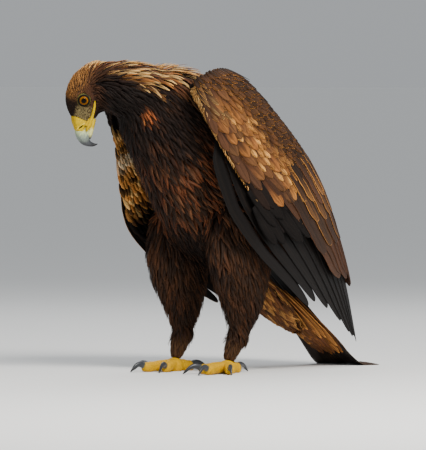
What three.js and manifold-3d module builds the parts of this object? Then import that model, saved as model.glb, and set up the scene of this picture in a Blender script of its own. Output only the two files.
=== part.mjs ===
// A golden eagle at life size, standing at rest with its head bowed and turned to its right.
// Millimetres, +Z up. The bird faces -Y, its left side is +X, and the floor is z = 0.
import * as THREE from 'three';
import { mergeVertices } from 'three/addons/utils/BufferGeometryUtils.js';
import Module from 'manifold-3d';

const wasm = await Module();
wasm.setup();

// Driving dimensions, in millimetres and degrees.
const GAP = 0.35; // between neighbours
const BOX_CENTRE_Y = 79.6; // from the feet back to the middle of the whole bird

const HEAD_AT = [-56, -203, 437]; // the point midway between the eyes
const HEAD_TURN = 43; // to the bird's right
const HEAD_BOW = 81; // from level
const EYE_RADIUS = 11.4;
const EYE_OUT = 18.4; // from the head's middle plane
const SOCKET_RADIUS = 12.6;
const SOCKET_OUT = 20.6;

const FOOT_AT = [58, 8, 0];
const FOOT_TOE_OUT = 9;
const TOE_HEIGHT = 7.4; // of a toe's middle over the floor
const PAD_RADIUS = 15;
const TALON_RADIUS = 5.2;

// Places on the wing: u from the leading edge (0) to the back (1), v from the wrist (0) to the tip (1).
const MIDDLE_RAIL = 0.55;
const ARM_END = 0.6;
const SECONDARY_END = [0.74, 0.84]; // at the leading edge and at the back
const SECONDARY_TIPS = 7;
const SECONDARY_REACH = 0.03;
const PRIMARY_START = 0.16;
const PRIMARY_END = [0.8, 0.95];
const PRIMARY_SHOWS = -0.12; // how far the folded hand stands out past the leading edge
const PRIMARY_BACK = 0.42;
const PRIMARY_TIPS = 5;
const PRIMARY_REACH = 0.05;

// Thicknesses of the wing.
const BLADE_THICK = [15, 5]; // at the wrist and at the arm's end
const WRIST_THICK = 12;
const ROOT_THICK = 30;
const SECONDARY_THICK = [5, 2.4];
const PRIMARY_THICK = [4.5, 2];
const QUILL_LAYER_GAP = 2.2;
const TOP_ROUND = 0.07; // how much of v the rounded top edge takes

const TAIL_FEATHERS = 12;
const TAIL_HALF_WIDTH = [30, 55];
const TAIL_THICK = [16, 3];
const TAIL_END = 0.965;
const TAIL_CORNER = 0.07; // how much shorter the outermost feathers are
const TAIL_REACH = 0.035;
const TAIL_DROOP = 10; // of its sides, where it is off the floor

const UP = new THREE.Vector3(0, 0, 1);
const LEFT = new THREE.Vector3(1, 0, 0);
const radians = THREE.MathUtils.degToRad;
const lerp = THREE.MathUtils.lerp;
const smooth = (x, a, b) => THREE.MathUtils.smoothstep(x, a, b);
const vec = (p) => new THREE.Vector3(p[0], p[1], p[2]);

// ---- Solids and booleans ----

const MERGE_DISTANCE = 1e-4;

function solidOf(geometry) {
  const bare = geometry.clone();
  bare.deleteAttribute('normal');
  bare.deleteAttribute('uv');
  const merged = mergeVertices(bare, MERGE_DISTANCE);
  return new wasm.Manifold(new wasm.Mesh({
    numProp: 3,
    vertProperties: new Float32Array(merged.attributes.position.array),
    triVerts: new Uint32Array(merged.index.array),
  }));
}

function geometryOf(solid) {
  const mesh = solid.getMesh();
  const geometry = new THREE.BufferGeometry();
  const position = new Float32Array(mesh.numVert * 3);
  for (let i = 0; i < mesh.numVert; i++) {
    for (let k = 0; k < 3; k++) position[3 * i + k] = mesh.vertProperties[mesh.numProp * i + k];
  }
  geometry.setAttribute('position', new THREE.BufferAttribute(position, 3));
  geometry.setIndex(new THREE.BufferAttribute(new Uint32Array(mesh.triVerts), 1));
  return geometry;
}

function signedVolume(geometry) {
  const p = geometry.attributes.position;
  const index = geometry.index.array;
  const a = new THREE.Vector3();
  const b = new THREE.Vector3();
  const c = new THREE.Vector3();
  let sum = 0;
  for (let i = 0; i < index.length; i += 3) {
    a.fromBufferAttribute(p, index[i]);
    b.fromBufferAttribute(p, index[i + 1]);
    c.fromBufferAttribute(p, index[i + 2]);
    sum += a.dot(b.cross(c));
  }
  return sum / 6;
}

// Turns the faces of a bent geometry outward.
function facingOut(geometry) {
  if (signedVolume(geometry) > 0) return geometry;
  const index = geometry.index.array;
  for (let i = 0; i < index.length; i += 3) {
    const first = index[i];
    index[i] = index[i + 1];
    index[i + 1] = first;
  }
  return geometry;
}

function bend(geometry, place) {
  const p = geometry.attributes.position;
  for (let i = 0; i < p.count; i++) {
    const to = place(p.getX(i), p.getY(i), p.getZ(i));
    p.setXYZ(i, to.x, to.y, to.z);
  }
  return facingOut(geometry);
}

function mirrored(geometry) {
  return bend(geometry.clone(), (x, y, z) => new THREE.Vector3(-x, y, z));
}

function cut(geometry, ...others) {
  let solid = solidOf(geometry);
  for (const other of others) solid = solid.subtract(solidOf(other));
  return geometryOf(solid);
}

function join(...geometries) {
  let solid = solidOf(geometries[0]);
  for (const other of geometries.slice(1)) solid = solid.add(solidOf(other));
  return geometryOf(solid);
}

// Flattens what lies under the floor's level, so that it rests there.
function rested(geometry) {
  const p = geometry.attributes.position;
  for (let i = 0; i < p.count; i++) p.setZ(i, Math.max(0, p.getZ(i)));
  return geometry;
}

// ---- Rounded forms: a sphere stretched over ribs along a curve ----

const curveThrough = (points) => new THREE.CatmullRomCurve3(points, false, 'catmullrom', 0.5);

function smoothVectors(points) {
  const curve = curveThrough(points);
  return (t) => curve.getPoint(t);
}

// A rib is its centre, its half-width vector and its half-depth vector. `fullness` is 1 for an
// ellipsoid and less for a fuller form, and `grow` makes the form larger all round.
function form(ribs, { around, along, fullness = 0.5, grow = 0 }) {
  const centre = smoothVectors(ribs.map((r) => r.centre));
  const wide = smoothVectors(ribs.map((r) => r.wide));
  const deep = smoothVectors(ribs.map((r) => r.deep));
  const ends = [ribs[0].centre, ribs[ribs.length - 1].centre];
  const stretch = ends[1].clone().sub(ends[0]).setLength(grow);
  return bend(new THREE.SphereGeometry(1, around, along), (x, y, z) => {
    const t = (1 - y) / 2;
    const r = Math.hypot(x, z);
    const full = r > MERGE_DISTANCE ? Math.pow(r, fullness) / r : 0;
    const w = wide(t);
    const d = deep(t);
    w.setLength(w.length() + grow);
    d.setLength(d.length() + grow);
    return centre(t).addScaledVector(w, x * full).addScaledVector(d, z * full)
      .addScaledVector(stretch, -y);
  });
}

// Ribs square to their curve. Each entry is [x, y, z, half-width, half-depth].
function ribsAlong(entries, sideways) {
  const points = entries.map(vec);
  const curve = curveThrough(points);
  return entries.map((entry, i) => {
    const tangent = curve.getTangent(i / (entries.length - 1));
    const wide = sideways.clone().addScaledVector(tangent, -sideways.dot(tangent)).normalize();
    const deep = tangent.clone().cross(wide).normalize();
    return { centre: points[i], wide: wide.multiplyScalar(entry[3]), deep: deep.multiplyScalar(entry[4]) };
  });
}

// Ribs of the trunk, from [front y, front z, back y, back z, half-width].
function ribsBetween(entries) {
  return entries.map(([frontY, frontZ, backY, backZ, halfWidth]) => ({
    centre: new THREE.Vector3(0, (frontY + backY) / 2, (frontZ + backZ) / 2),
    wide: new THREE.Vector3(halfWidth, 0, 0),
    deep: new THREE.Vector3(0, (backY - frontY) / 2, (backZ - frontZ) / 2),
  }));
}

// Ribs of the head, square to its length, from [forward, top, bottom, half-width].
function ribsOfHead(entries) {
  return entries.map(([forward, top, bottom, halfWidth]) => ({
    centre: new THREE.Vector3(0, -forward, (top + bottom) / 2),
    wide: new THREE.Vector3(halfWidth, 0, 0),
    deep: new THREE.Vector3(0, 0, (top - bottom) / 2),
  }));
}

// ---- Trunk and neck ----

const TRUNK_RIBS = ribsBetween([
  [-150, 452, -112, 492, 40],
  [-174, 428, -60, 495, 64],
  [-178, 394, -4, 486, 74],
  [-143, 346, 50, 456, 78],
  [-106, 296, 92, 402, 81],
  [-74, 249, 124, 346, 81],
  [-38, 206, 146, 292, 78],
  [14, 176, 160, 248, 70],
  [78, 164, 170, 222, 54],
  [112, 160, 176, 202, 42],
]);

const trunkForm = (grow) => form(TRUNK_RIBS, { around: 22, along: 14, fullness: 0.4, grow });

const NECK_RIBS = ribsAlong([
  [0, -96, 438, 64, 56],
  [-4, -130, 446, 60, 52],
  [-18, -160, 453, 54, 49],
  [-36, -183, 456, 46, 46],
  [-54, -198, 450, 34, 36],
], LEFT);

const neckForm = (grow) => form(NECK_RIBS, { around: 16, along: 8, fullness: 0.4, grow });

// ---- Head: its own frame has its origin between the eyes, -Y forward and +Z up ----

const SKULL_RIBS = ribsOfHead([
  [-66, -2, -34, 18],
  [-54, 11, -39, 27],
  [-38, 24, -39, 30],
  [-21, 29.5, -38, 31.5],
  [-4, 31, -36, 31.5],
  [10, 29, -33, 29.5],
  [22, 24.5, -30, 24],
  [32, 19, -26.5, 18.5],
  [42, 13, -23.5, 15],
]);

const BROW_RIBS = ribsAlong([
  [24, 14, 9, 5, 4],
  [27.2, 2, 11.5, 5.5, 4.6],
  [22.5, -13, 8, 5, 4],
  [15.5, -26, 3, 3.5, 3],
], UP);

const CERE_RIBS = ribsOfHead([
  [30, 15, -14, 13.4],
  [37, 13, -16, 13],
  [45, 9, -17, 11.2],
  [51.5, 5.2, -17, 9.8],
]);

// The upper bill bends down from the cere to its hooked tip.
const UPPER_BILL_RIBS = ribsAlong([
  [0, -45, -5.6, 10.8, 12.8],
  [0, -51, -6.6, 10, 12],
  [0, -58, -9.2, 8.4, 10.4],
  [0, -64, -13.8, 6.4, 7.9],
  [0, -67.2, -20, 4.3, 4.9],
  [0, -67.8, -27, 2.5, 2.8],
  [0, -65.6, -33.6, 0.7, 0.7],
], LEFT);

const LOWER_BILL_RIBS = ribsAlong([
  [0, -26, -20.4, 10, 4.6],
  [0, -37, -19.6, 9, 4.6],
  [0, -49, -18.8, 7.2, 4.4],
  [0, -61, -18.6, 4, 2.8],
], LEFT);

const skullForm = (grow) => form(SKULL_RIBS, { around: 18, along: 12, fullness: 0.4, grow });
const browForm = (grow) => form(BROW_RIBS, { around: 5, along: 5, grow });
const cereForm = (grow) => form(CERE_RIBS, { around: 12, along: 6, fullness: 0.3, grow });
const upperBillForm = (grow) => form(UPPER_BILL_RIBS, { around: 12, along: 12, fullness: 0.35, grow });
const lowerBillForm = (grow) => form(LOWER_BILL_RIBS, { around: 8, along: 6, fullness: 0.4, grow });

const eyeballAt = (radius, out) => new THREE.SphereGeometry(radius, 10, 7).translate(out, 0, 0);

// ---- Wings: a surface over three rails, from the wrist (v = 0) to the tip (v = 1) ----

const LEADING_RAIL = [
  [97, -112, 470], [108, -106, 430], [118, -70, 366], [130, -25, 301],
  [137, 34, 234], [122, 126, 161], [93, 227, 86], [62, 330, 17],
];
const CROWN_RAIL = [
  [90, -28, 490], [112, 8, 455], [120, 66, 404], [115, 130, 350],
  [102, 190, 290], [84, 248, 216], [68, 296, 138], [58, 336, 27],
];
const TRAILING_RAIL = [
  [56, 36, 468], [34, 68, 450], [17, 100, 413], [13, 138, 364],
  [13, 182, 308], [17, 232, 242], [30, 282, 164], [52, 338, 37],
];

const leading = smoothVectors(LEADING_RAIL.map(vec));
const middle = smoothVectors(CROWN_RAIL.map(vec));
const trailing = smoothVectors(TRAILING_RAIL.map(vec));

// The point of the left wing's outer surface at u across, from the leading edge, and v along.
function wingPoint(u, v) {
  const t = THREE.MathUtils.clamp(v, 0, 1);
  const m = MIDDLE_RAIL;
  const a = ((u - m) * (u - 1)) / m;
  const b = (u * (u - 1)) / (m * (m - 1));
  const c = (u * (u - m)) / (1 - m);
  return leading(t).multiplyScalar(a).addScaledVector(middle(t), b).addScaledVector(trailing(t), c);
}

function wingInward(u, v) {
  const step = 0.01;
  const across = wingPoint(u + step, v).sub(wingPoint(u - step, v));
  const along = wingPoint(u, Math.min(1, v + step)).sub(wingPoint(u, Math.max(0, v - step)));
  return across.cross(along).normalize();
}

// A plate over the wing from one line to another, sunk under its surface by `under`.
function wingPlate({ front, back, from, to, under, thick, across, along }) {
  return bend(new THREE.BoxGeometry(1, 1, 1, across, along, 1), (x, y, z) => {
    const v = lerp(from(x + 0.5), to(x + 0.5), y + 0.5);
    const u = lerp(front(v), back, x + 0.5);
    const depth = under(u, v) + (z + 0.5) * thick(u, v);
    return wingPoint(u, v).addScaledVector(wingInward(u, v), depth);
  });
}

// Rounded feather ends along an edge: `count` of them, each reaching `reach` past its notch.
function scallop(x, count, reach) {
  const phase = (x * count) % 1;
  return reach * Math.sqrt(Math.max(0, 1 - Math.pow(2 * phase - 1, 2)));
}

const bladeThick = (v) => lerp(...BLADE_THICK, smooth(v, 0.05, ARM_END));
const wristThick = (u, v) => WRIST_THICK * (1 - smooth(v, 0.05, 0.22)) * (1 - smooth(u, 0.2, 0.5));
// The upper arm and its muscles fill the wing near the back.
const rootThick = (u, v) => ROOT_THICK * smooth(u, 0.46, 0.85) * (1 - smooth(v, 0.2, 0.5));
// The wrist and the top edge are rounded, from a little more than nothing at v = 0.
const topRound = (v) => Math.sqrt(1 - Math.pow(1 - Math.min(1, (v + 0.006) / TOP_ROUND), 2));
const armThick = (u, v) => (bladeThick(v) + rootThick(u, v) + wristThick(u, v)) * topRound(v);

const armPlate = () => wingPlate({
  front: () => 0, back: 1,
  from: (x) => 0.05 * Math.pow(1 - Math.min(1, x / 0.3), 2),
  to: () => ARM_END,
  under: (u, v) => 5 * (1 - topRound(v)), thick: armThick,
  across: 10, along: 9,
});

const secondaryPlate = () => wingPlate({
  front: () => 0, back: 1,
  from: () => ARM_END + 0.0008, // the gap to the arm
  to: (x) => lerp(...SECONDARY_END, x) + scallop(x, SECONDARY_TIPS, SECONDARY_REACH),
  under: () => 0, thick: (u, v) => lerp(...SECONDARY_THICK, smooth(v, ARM_END, 0.85)),
  across: 21, along: 3,
});

// The folded hand: it shows in front of the arm's leading edge, and past the secondaries.
const primaryPlate = () => wingPlate({
  front: (v) => lerp(0.03, PRIMARY_SHOWS, smooth(v, PRIMARY_START, 0.55)), back: PRIMARY_BACK,
  from: () => PRIMARY_START,
  to: (x) => lerp(...PRIMARY_END, smooth(x, 0, 0.75)) + scallop(x, PRIMARY_TIPS, PRIMARY_REACH),
  under: (u, v) => bladeThick(v) + wristThick(u, v) + QUILL_LAYER_GAP,
  thick: (u, v) => lerp(...PRIMARY_THICK, smooth(v, 0.3, 1)),
  across: 15, along: 7,
});

// ---- Tail: a closed fan that comes down to the floor and lies along it ----

const TAIL_LINE = new THREE.CatmullRomCurve3([
  [0, 140, 188], [0, 200, 136], [0, 262, 80], [0, 312, 37], [0, 348, 10], [0, 370, 3], [0, 394, 2.6],
].map(vec));

function tailPoint(across, along, depth) {
  const point = TAIL_LINE.getPoint(Math.min(1, along));
  const tangent = TAIL_LINE.getTangent(Math.min(1, along));
  const down = tangent.clone().cross(LEFT).normalize();
  const halfWidth = lerp(...TAIL_HALF_WIDTH, smooth(along, 0, 0.9));
  const droop = TAIL_DROOP * across * across * (1 - smooth(along, 0.55, 0.9));
  return point.addScaledVector(LEFT, across * halfWidth).addScaledVector(down, depth + droop);
}

function tailPlate(grow) {
  return bend(new THREE.BoxGeometry(1, 1, 1, 24, 5, 1), (x, y, z) => {
    const across = 2 * x;
    const end = TAIL_END - TAIL_CORNER * across * across + scallop(x + 0.5, TAIL_FEATHERS, TAIL_REACH);
    const along = (y + 0.5) * end;
    const thick = lerp(...TAIL_THICK, smooth(along, 0, 0.5)) + 2 * grow;
    return tailPoint(across, along, (z + 0.5) * thick - grow);
  });
}

const UNDERTAIL_RIBS = ribsAlong([
  [0, 84, 176, 40, 24],
  [0, 122, 146, 44, 27],
  [0, 164, 112, 43, 22],
  [0, 206, 80, 36, 15],
  [0, 248, 52, 24, 7],
], LEFT);

const undertailForm = (grow) => form(UNDERTAIL_RIBS, { around: 12, along: 7, grow });

// ---- Legs ----

const THIGH_RIBS = ribsAlong([
  [54, 52, 282, 36, 62],
  [62, 34, 236, 46, 72],
  [67, 27, 188, 45, 68],
  [67, 32, 142, 38, 56],
  [64, 36, 98, 31, 44],
  [61, 30, 50, 22, 27],
], LEFT);

const SHANK_RIBS = ribsAlong([
  [63, 46, 112, 13, 16],
  [63, 43, 88, 16, 18],
  [61, 32, 62, 17, 18],
  [59, 19, 38, 16, 16.5],
  [58, 8, 14, 14, 14],
], LEFT);

const thighForm = (grow) => form(THIGH_RIBS, { around: 12, along: 9, grow });
const shankForm = () => form(SHANK_RIBS, { around: 10, along: 6 });

// Toes as [name, heading from straight ahead, length, radius, talon length], for the left foot.
const TOES = [
  ['inner', -34, 47, 8.6, 40],
  ['middle', 2, 62, 8.2, 34],
  ['outer', 40, 46, 7.6, 29],
  ['hind', 184, 34, 9.2, 46],
];

// Ribs of a toe and of a talon, as [place along it, height over or under the toe's, thickness].
const TOE_STEPS = [[0, 3.6, 1.15], [0.3, 3.1, 0.98], [0.62, 1.4, 0.92], [0.86, 0, 0.95], [1, 1, 0.8]];
const TALON_STEPS = [[0, 2.4, 1], [0.3, 5.4, 0.86], [0.6, 3.2, 0.62], [0.85, -3, 0.36], [1, -6.8, 0.1]];
const TALON_SPAN = 0.8; // of its length along the curve, as its point is bent down
const TALON_SUNK = 3;

function heading(degrees) {
  return new THREE.Vector3(Math.sin(radians(degrees)), -Math.cos(radians(degrees)), 0);
}

function toeForm([, degrees, length, radius], grow) {
  const ahead = heading(degrees);
  const entries = TOE_STEPS.map(([t, height, thick]) => {
    const p = ahead.clone().multiplyScalar(length * t);
    return [p.x, p.y, TOE_HEIGHT + height, thick * radius, thick * radius];
  });
  const sideways = ahead.clone().cross(UP);
  return form(ribsAlong(entries, sideways), { around: 7, along: 5, fullness: 0.45, grow });
}

function talonForm([, degrees, length, , talon]) {
  const ahead = heading(degrees);
  const entries = TALON_STEPS.map(([t, height, thick]) => {
    const p = ahead.clone().multiplyScalar(length - TALON_SUNK + talon * TALON_SPAN * t);
    return [p.x, p.y, TOE_HEIGHT + height, 0.82 * thick * TALON_RADIUS, thick * TALON_RADIUS];
  });
  const sideways = ahead.clone().cross(UP);
  return form(ribsAlong(entries, sideways), { around: 6, along: 6, fullness: 0.4 });
}

const soleForm = () => new THREE.SphereGeometry(PAD_RADIUS, 10, 6).scale(1, 1, 0.9).translate(0, 0, 8.1);

// ---- Materials ----

const MATERIALS = {
  plumage: { color: 0x3a281b, roughness: 0.85 },
  nape: { color: 0x9a6a3c, roughness: 0.8 },
  covert: { color: 0x7a5232, roughness: 0.75 },
  quill: { color: 0x33261c, roughness: 0.65 },
  undertail: { color: 0xa5713a, roughness: 0.85 },
  skin: { color: 0xe3a41c, roughness: 0.5 },
  horn: { color: 0x4d5358, roughness: 0.35 },
  eye: { color: 0xa8702a, roughness: 0.08 },
};

// The bird is built around its feet, and set so that the frame's origin is under its middle.
const bird = new THREE.Group();
bird.position.y = -BOX_CENTRE_Y;
const object = new THREE.Group().add(bird);

function addMesh(parent, name, geometry, kind) {
  const material = new THREE.MeshStandardMaterial({ ...MATERIALS[kind], metalness: 0 });
  geometry.computeVertexNormals();
  const mesh = new THREE.Mesh(geometry, material);
  mesh.name = name;
  parent.add(mesh);
  return mesh;
}

// ---- Assembly: head ----

const headGroup = new THREE.Group();
headGroup.position.set(...HEAD_AT);
headGroup.rotation.set(radians(HEAD_BOW), 0, radians(-HEAD_TURN), 'ZYX');
headGroup.updateMatrix();
bird.add(headGroup);

const sockets = [1, -1].flatMap((side) => [
  eyeballAt(SOCKET_RADIUS, side * SOCKET_OUT),
  eyeballAt(EYE_RADIUS + GAP, side * EYE_OUT),
]);
const skull = join(skullForm(0), browForm(0), mirrored(browForm(0)));
const faceRoom = [cereForm(GAP), upperBillForm(GAP), lowerBillForm(GAP)];
addMesh(headGroup, 'head', cut(skull, ...sockets, ...faceRoom), 'nape');
addMesh(headGroup, 'cere', cut(cereForm(0), upperBillForm(GAP), lowerBillForm(GAP)), 'skin');
addMesh(headGroup, 'upper_bill', upperBillForm(0), 'horn');
addMesh(headGroup, 'lower_bill', cut(lowerBillForm(0), upperBillForm(GAP)), 'horn');
addMesh(headGroup, 'eye_left', eyeballAt(EYE_RADIUS, EYE_OUT), 'eye');
addMesh(headGroup, 'eye_right', eyeballAt(EYE_RADIUS, -EYE_OUT), 'eye');

const headRoom = join(skullForm(GAP), browForm(GAP), mirrored(browForm(GAP)))
  .applyMatrix4(headGroup.matrix);

// ---- Assembly: trunk, neck and tail ----

const trunkRoom = trunkForm(GAP);
const neckRoom = neckForm(GAP);
addMesh(bird, 'trunk', trunkForm(0), 'plumage');
addMesh(bird, 'neck', cut(neckForm(0), headRoom, trunkRoom), 'nape');
addMesh(bird, 'tail', cut(rested(tailPlate(0)), trunkRoom), 'quill');
addMesh(bird, 'undertail_coverts', cut(undertailForm(0), trunkRoom, tailPlate(GAP)), 'undertail');

// ---- Assembly: wings and legs, each side a mirror of the other ----

const arm = cut(armPlate(), trunkRoom, neckRoom);
const secondaries = secondaryPlate();
const primaries = cut(primaryPlate(), trunkRoom);
const bodyRoom = [trunkRoom, undertailForm(GAP)];

const footMatrix = new THREE.Matrix4().makeRotationZ(radians(FOOT_TOE_OUT)).setPosition(...FOOT_AT);
const toes = rested(join(soleForm(), ...TOES.map((toe) => toeForm(toe, 0))));
const toeRoom = join(soleForm(), ...TOES.map((toe) => toeForm(toe, GAP)));
const talons = TOES.map((toe) => ({ name: toe[0], geometry: cut(talonForm(toe), toeRoom) }));
const shank = cut(shankForm(), thighForm(GAP), toeRoom.clone().applyMatrix4(footMatrix));

const SIDES = [['left', 1], ['right', -1]];
for (const [side, sign] of SIDES) {
  const onSide = (geometry) => (sign > 0 ? geometry : mirrored(geometry));
  addMesh(bird, `wing_arm_${side}`, onSide(arm), 'covert');
  addMesh(bird, `wing_secondaries_${side}`, onSide(secondaries), 'quill');
  addMesh(bird, `wing_primaries_${side}`, onSide(primaries), 'quill');
  const wingRoom = [onSide(armPlate()), onSide(primaryPlate())];
  const thigh = cut(onSide(thighForm(0)), ...bodyRoom, ...wingRoom);
  addMesh(bird, `thigh_${side}`, thigh, 'plumage');
  addMesh(bird, `shank_${side}`, onSide(shank), 'plumage');
  const foot = new THREE.Group();
  foot.position.set(sign * FOOT_AT[0], FOOT_AT[1], FOOT_AT[2]);
  foot.rotation.z = radians(sign * FOOT_TOE_OUT);
  bird.add(foot);
  addMesh(foot, `toes_${side}`, onSide(toes), 'skin');
  for (const talon of talons) {
    addMesh(foot, `talon_${talon.name}_${side}`, onSide(talon.geometry), 'horn');
  }
}

export default object;
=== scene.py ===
"""The looks of a golden eagle at life size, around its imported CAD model.

Points are worked out in millimetres in the bird's own frame, as in part.mjs: the feet stand at
y = 0, it faces -Y, its left side is +X and the floor is z = 0. add_mesh turns them into metres in
the shared frame.
"""
import math

import bmesh
import bpy
import numpy as np
from mathutils import Matrix, Vector
from mathutils.bvhtree import BVHTree


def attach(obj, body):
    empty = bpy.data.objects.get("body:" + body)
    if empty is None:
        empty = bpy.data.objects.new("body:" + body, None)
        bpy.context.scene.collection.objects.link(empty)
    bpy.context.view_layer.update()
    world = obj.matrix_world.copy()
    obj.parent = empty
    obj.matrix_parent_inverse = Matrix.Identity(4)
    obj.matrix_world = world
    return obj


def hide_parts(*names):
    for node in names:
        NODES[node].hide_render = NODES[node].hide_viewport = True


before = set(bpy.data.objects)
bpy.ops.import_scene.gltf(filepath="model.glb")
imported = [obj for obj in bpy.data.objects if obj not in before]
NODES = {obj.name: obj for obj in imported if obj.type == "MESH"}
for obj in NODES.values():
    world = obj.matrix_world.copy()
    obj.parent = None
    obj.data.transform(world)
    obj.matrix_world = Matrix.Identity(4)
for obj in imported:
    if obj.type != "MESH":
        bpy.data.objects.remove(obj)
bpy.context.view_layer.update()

MM = 0.001
BOX_CENTRE_Y = 79.6  # from the feet back to the shared frame's origin
SIDES = (("left", 1.0), ("right", -1.0))
LEFT = np.array([1.0, 0, 0])
FLIP = np.array([-1.0, 1.0, 1.0])
NOISE_TABLE = 4096
rng = np.random.default_rng(11)


# ---- Numbers ----


def unit(v):
    return v / np.maximum(np.linalg.norm(v, axis=-1, keepdims=True), 1e-9)


def lerp(a, b, t):
    return a + (b - a) * t


def smooth(x, a, b):
    t = np.clip((x - a) / (b - a), 0, 1)
    return t * t * (3 - 2 * t)


def bump(x, centre, width):
    return np.exp(-(((x - centre) / width) ** 2))


def curve_at(points, t):
    """Catmull-Rom curve through the points, evenly spread over t from 0 to 1."""
    p = np.asarray(points, float)
    p = np.vstack([2 * p[0] - p[1], p, 2 * p[-1] - p[-2]])
    x = np.clip(np.asarray(t, float), 0, 1) * (len(p) - 3)
    i = np.minimum(x.astype(int), len(p) - 4)
    w = (x - i)[..., None]
    a, b, c, d = p[i], p[i + 1], p[i + 2], p[i + 3]
    return 0.5 * (2 * b + (c - a) * w + (2 * a - 5 * b + 4 * c - d) * w**2
                  + (3 * b - a - 3 * c + d) * w**3)


def from_hex(code):
    """A colour written as on a paint chart, in the renderer's linear values."""
    srgb = np.array([int(code[i:i + 2], 16) for i in (0, 2, 4)]) / 255
    return np.where(srgb <= 0.04045, srgb / 12.92, ((srgb + 0.055) / 1.055) ** 2.4)


def rows(*arrays):
    return np.concatenate(arrays)


def value_noise(p, scale, seed):
    """Smooth noise from 0 to 1 at the points, with features about `scale` across."""
    table = np.random.default_rng(seed).random(NOISE_TABLE)
    q = p / scale
    cell = np.floor(q).astype(int)
    w = smooth(q - cell, 0, 1)
    total = 0
    for corner in np.ndindex(2, 2, 2):
        x, y, z = np.moveaxis(cell + np.array(corner), -1, 0)
        weight = np.prod(np.where(corner, w, 1 - w), axis=-1)
        total = total + weight * table[(x * 73 + y * 179 + z * 283) % NOISE_TABLE]
    return total


def once_round(count):
    """Angles once round a circle."""
    return np.linspace(0, 2 * math.pi, count, endpoint=False)


def squared(values, power):
    """Sines or cosines pushed out towards a rounded square."""
    return np.sign(values) * np.abs(values) ** power


# ---- Meshes ----


def add_mesh(name, points, faces, material, uvs=None, colours=None, replaces=()):
    """faces is a list of index arrays, (n, 3) or (n, 4); uvs and colours are given at the points.
    Colours without an alpha get 1."""
    mesh = bpy.data.meshes.new(name)
    sizes = rows(*[np.full(len(f), f.shape[1]) for f in faces])
    corners = rows(*[f.ravel() for f in faces]).astype(np.int32)
    mesh.vertices.add(len(points))
    placed = (np.asarray(points) - [0, BOX_CENTRE_Y, 0]) * MM
    mesh.vertices.foreach_set("co", placed.astype(np.float32).ravel())
    mesh.loops.add(len(corners))
    mesh.loops.foreach_set("vertex_index", corners)
    mesh.polygons.add(len(sizes))
    mesh.polygons.foreach_set("loop_start", (np.cumsum(sizes) - sizes).astype(np.int32))
    mesh.update(calc_edges=True)
    mesh.shade_smooth()
    for layer, uv in (uvs or {}).items():
        data = mesh.uv_layers.new(name=layer).data
        data.foreach_set("uv", uv[corners].astype(np.float32).ravel())
    for layer, rgba in (colours or {}).items():
        if rgba.shape[1] == 3:
            rgba = np.insert(rgba, 3, 1, axis=1)
        data = mesh.attributes.new(layer, "FLOAT_COLOR", "POINT").data
        data.foreach_set("color", rgba.astype(np.float32).ravel())
    mesh.materials.append(material)
    piece = bpy.data.objects.new(name, mesh)
    bpy.context.scene.collection.objects.link(piece)
    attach(piece, "root")
    if replaces:
        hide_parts(*replaces)
    return piece


def ring_quads(steps, size):
    """Quads between closed rings of points that follow one another."""
    i, j = np.meshgrid(np.arange(steps - 1), np.arange(size), indexing="ij")
    k = (j + 1) % size
    corners = [i * size + j, i * size + k, (i + 1) * size + k, (i + 1) * size + j]
    return np.stack(corners, -1).reshape(-1, 4)


def ring_loft(rings):
    """Points and faces of a closed shape over rings (steps, around, 3), with a fan on each end."""
    steps, size = rings.shape[:2]
    foot, tip = np.full(size, steps * size), np.full(size, steps * size + 1)
    j = np.arange(size)
    k = (j + 1) % size
    last = (steps - 1) * size
    fans = rows(np.stack([foot, k, j], 1), np.stack([last + j, last + k, tip], 1))
    points = rows(rings.reshape(-1, 3), [rings[0].mean(axis=0), rings[-1].mean(axis=0)])
    return points, [ring_quads(steps, size), fans]


def node_mesh(node):
    """A CAD node's points in the bird's frame and its triangles."""
    mesh = NODES[node].data
    mesh.calc_loop_triangles()
    points = np.empty(len(mesh.vertices) * 3)
    mesh.vertices.foreach_get("co", points)
    tris = np.empty(len(mesh.loop_triangles) * 3, int)
    mesh.loop_triangles.foreach_get("vertices", tris)
    return points.reshape(-1, 3) / MM + [0, BOX_CENTRE_Y, 0], tris.reshape(-1, 3)


def remeshed(parts, voxel, grow):
    """The parts, each (points, triangles), grown a little and made one even mesh of quads."""
    joined = bmesh.new()
    for points, faces in parts:
        bm = bmesh.new()
        verts = [bm.verts.new(p) for p in points]
        for f in faces:
            if len(set(f)) == len(f):
                bm.faces.new([verts[i] for i in f])
        bmesh.ops.remove_doubles(bm, verts=bm.verts, dist=0.01)
        bmesh.ops.recalc_face_normals(bm, faces=bm.faces)
        bm.normal_update()
        for v in bm.verts:
            v.co += v.normal * grow
        copy = bpy.data.meshes.new("part")
        bm.to_mesh(copy)
        joined.from_mesh(copy)
        bpy.data.meshes.remove(copy)
        bm.free()
    mesh = bpy.data.meshes.new("joined")
    joined.to_mesh(mesh)
    joined.free()
    holder = bpy.data.objects.new("joined", mesh)
    bpy.context.scene.collection.objects.link(holder)
    modifier = holder.modifiers.new("even", "REMESH")
    modifier.mode = "VOXEL"
    modifier.voxel_size = voxel
    result = holder.evaluated_get(bpy.context.evaluated_depsgraph_get()).to_mesh()
    points = np.empty(len(result.vertices) * 3)
    result.vertices.foreach_get("co", points)
    quads = np.array([p.vertices[:] for p in result.polygons if len(p.vertices) == 4])
    bpy.data.objects.remove(holder)
    return largest_part(points.reshape(-1, 3), quads)


def largest_part(points, quads):
    """Drops what isn't joined to the largest part of a mesh, such as a void inside it."""
    label = np.arange(len(points))
    while True:
        lowest = label[quads].min(axis=1)
        new = label.copy()
        for k in range(4):
            np.minimum.at(new, quads[:, k], lowest)
        new = new[new]
        if np.array_equal(new, label):
            break
        label = new
    names, counts = np.unique(label, return_counts=True)
    keep = label == names[counts.argmax()]
    index = np.cumsum(keep) - 1
    return points[keep], index[quads[keep[quads[:, 0]]]]


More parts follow.
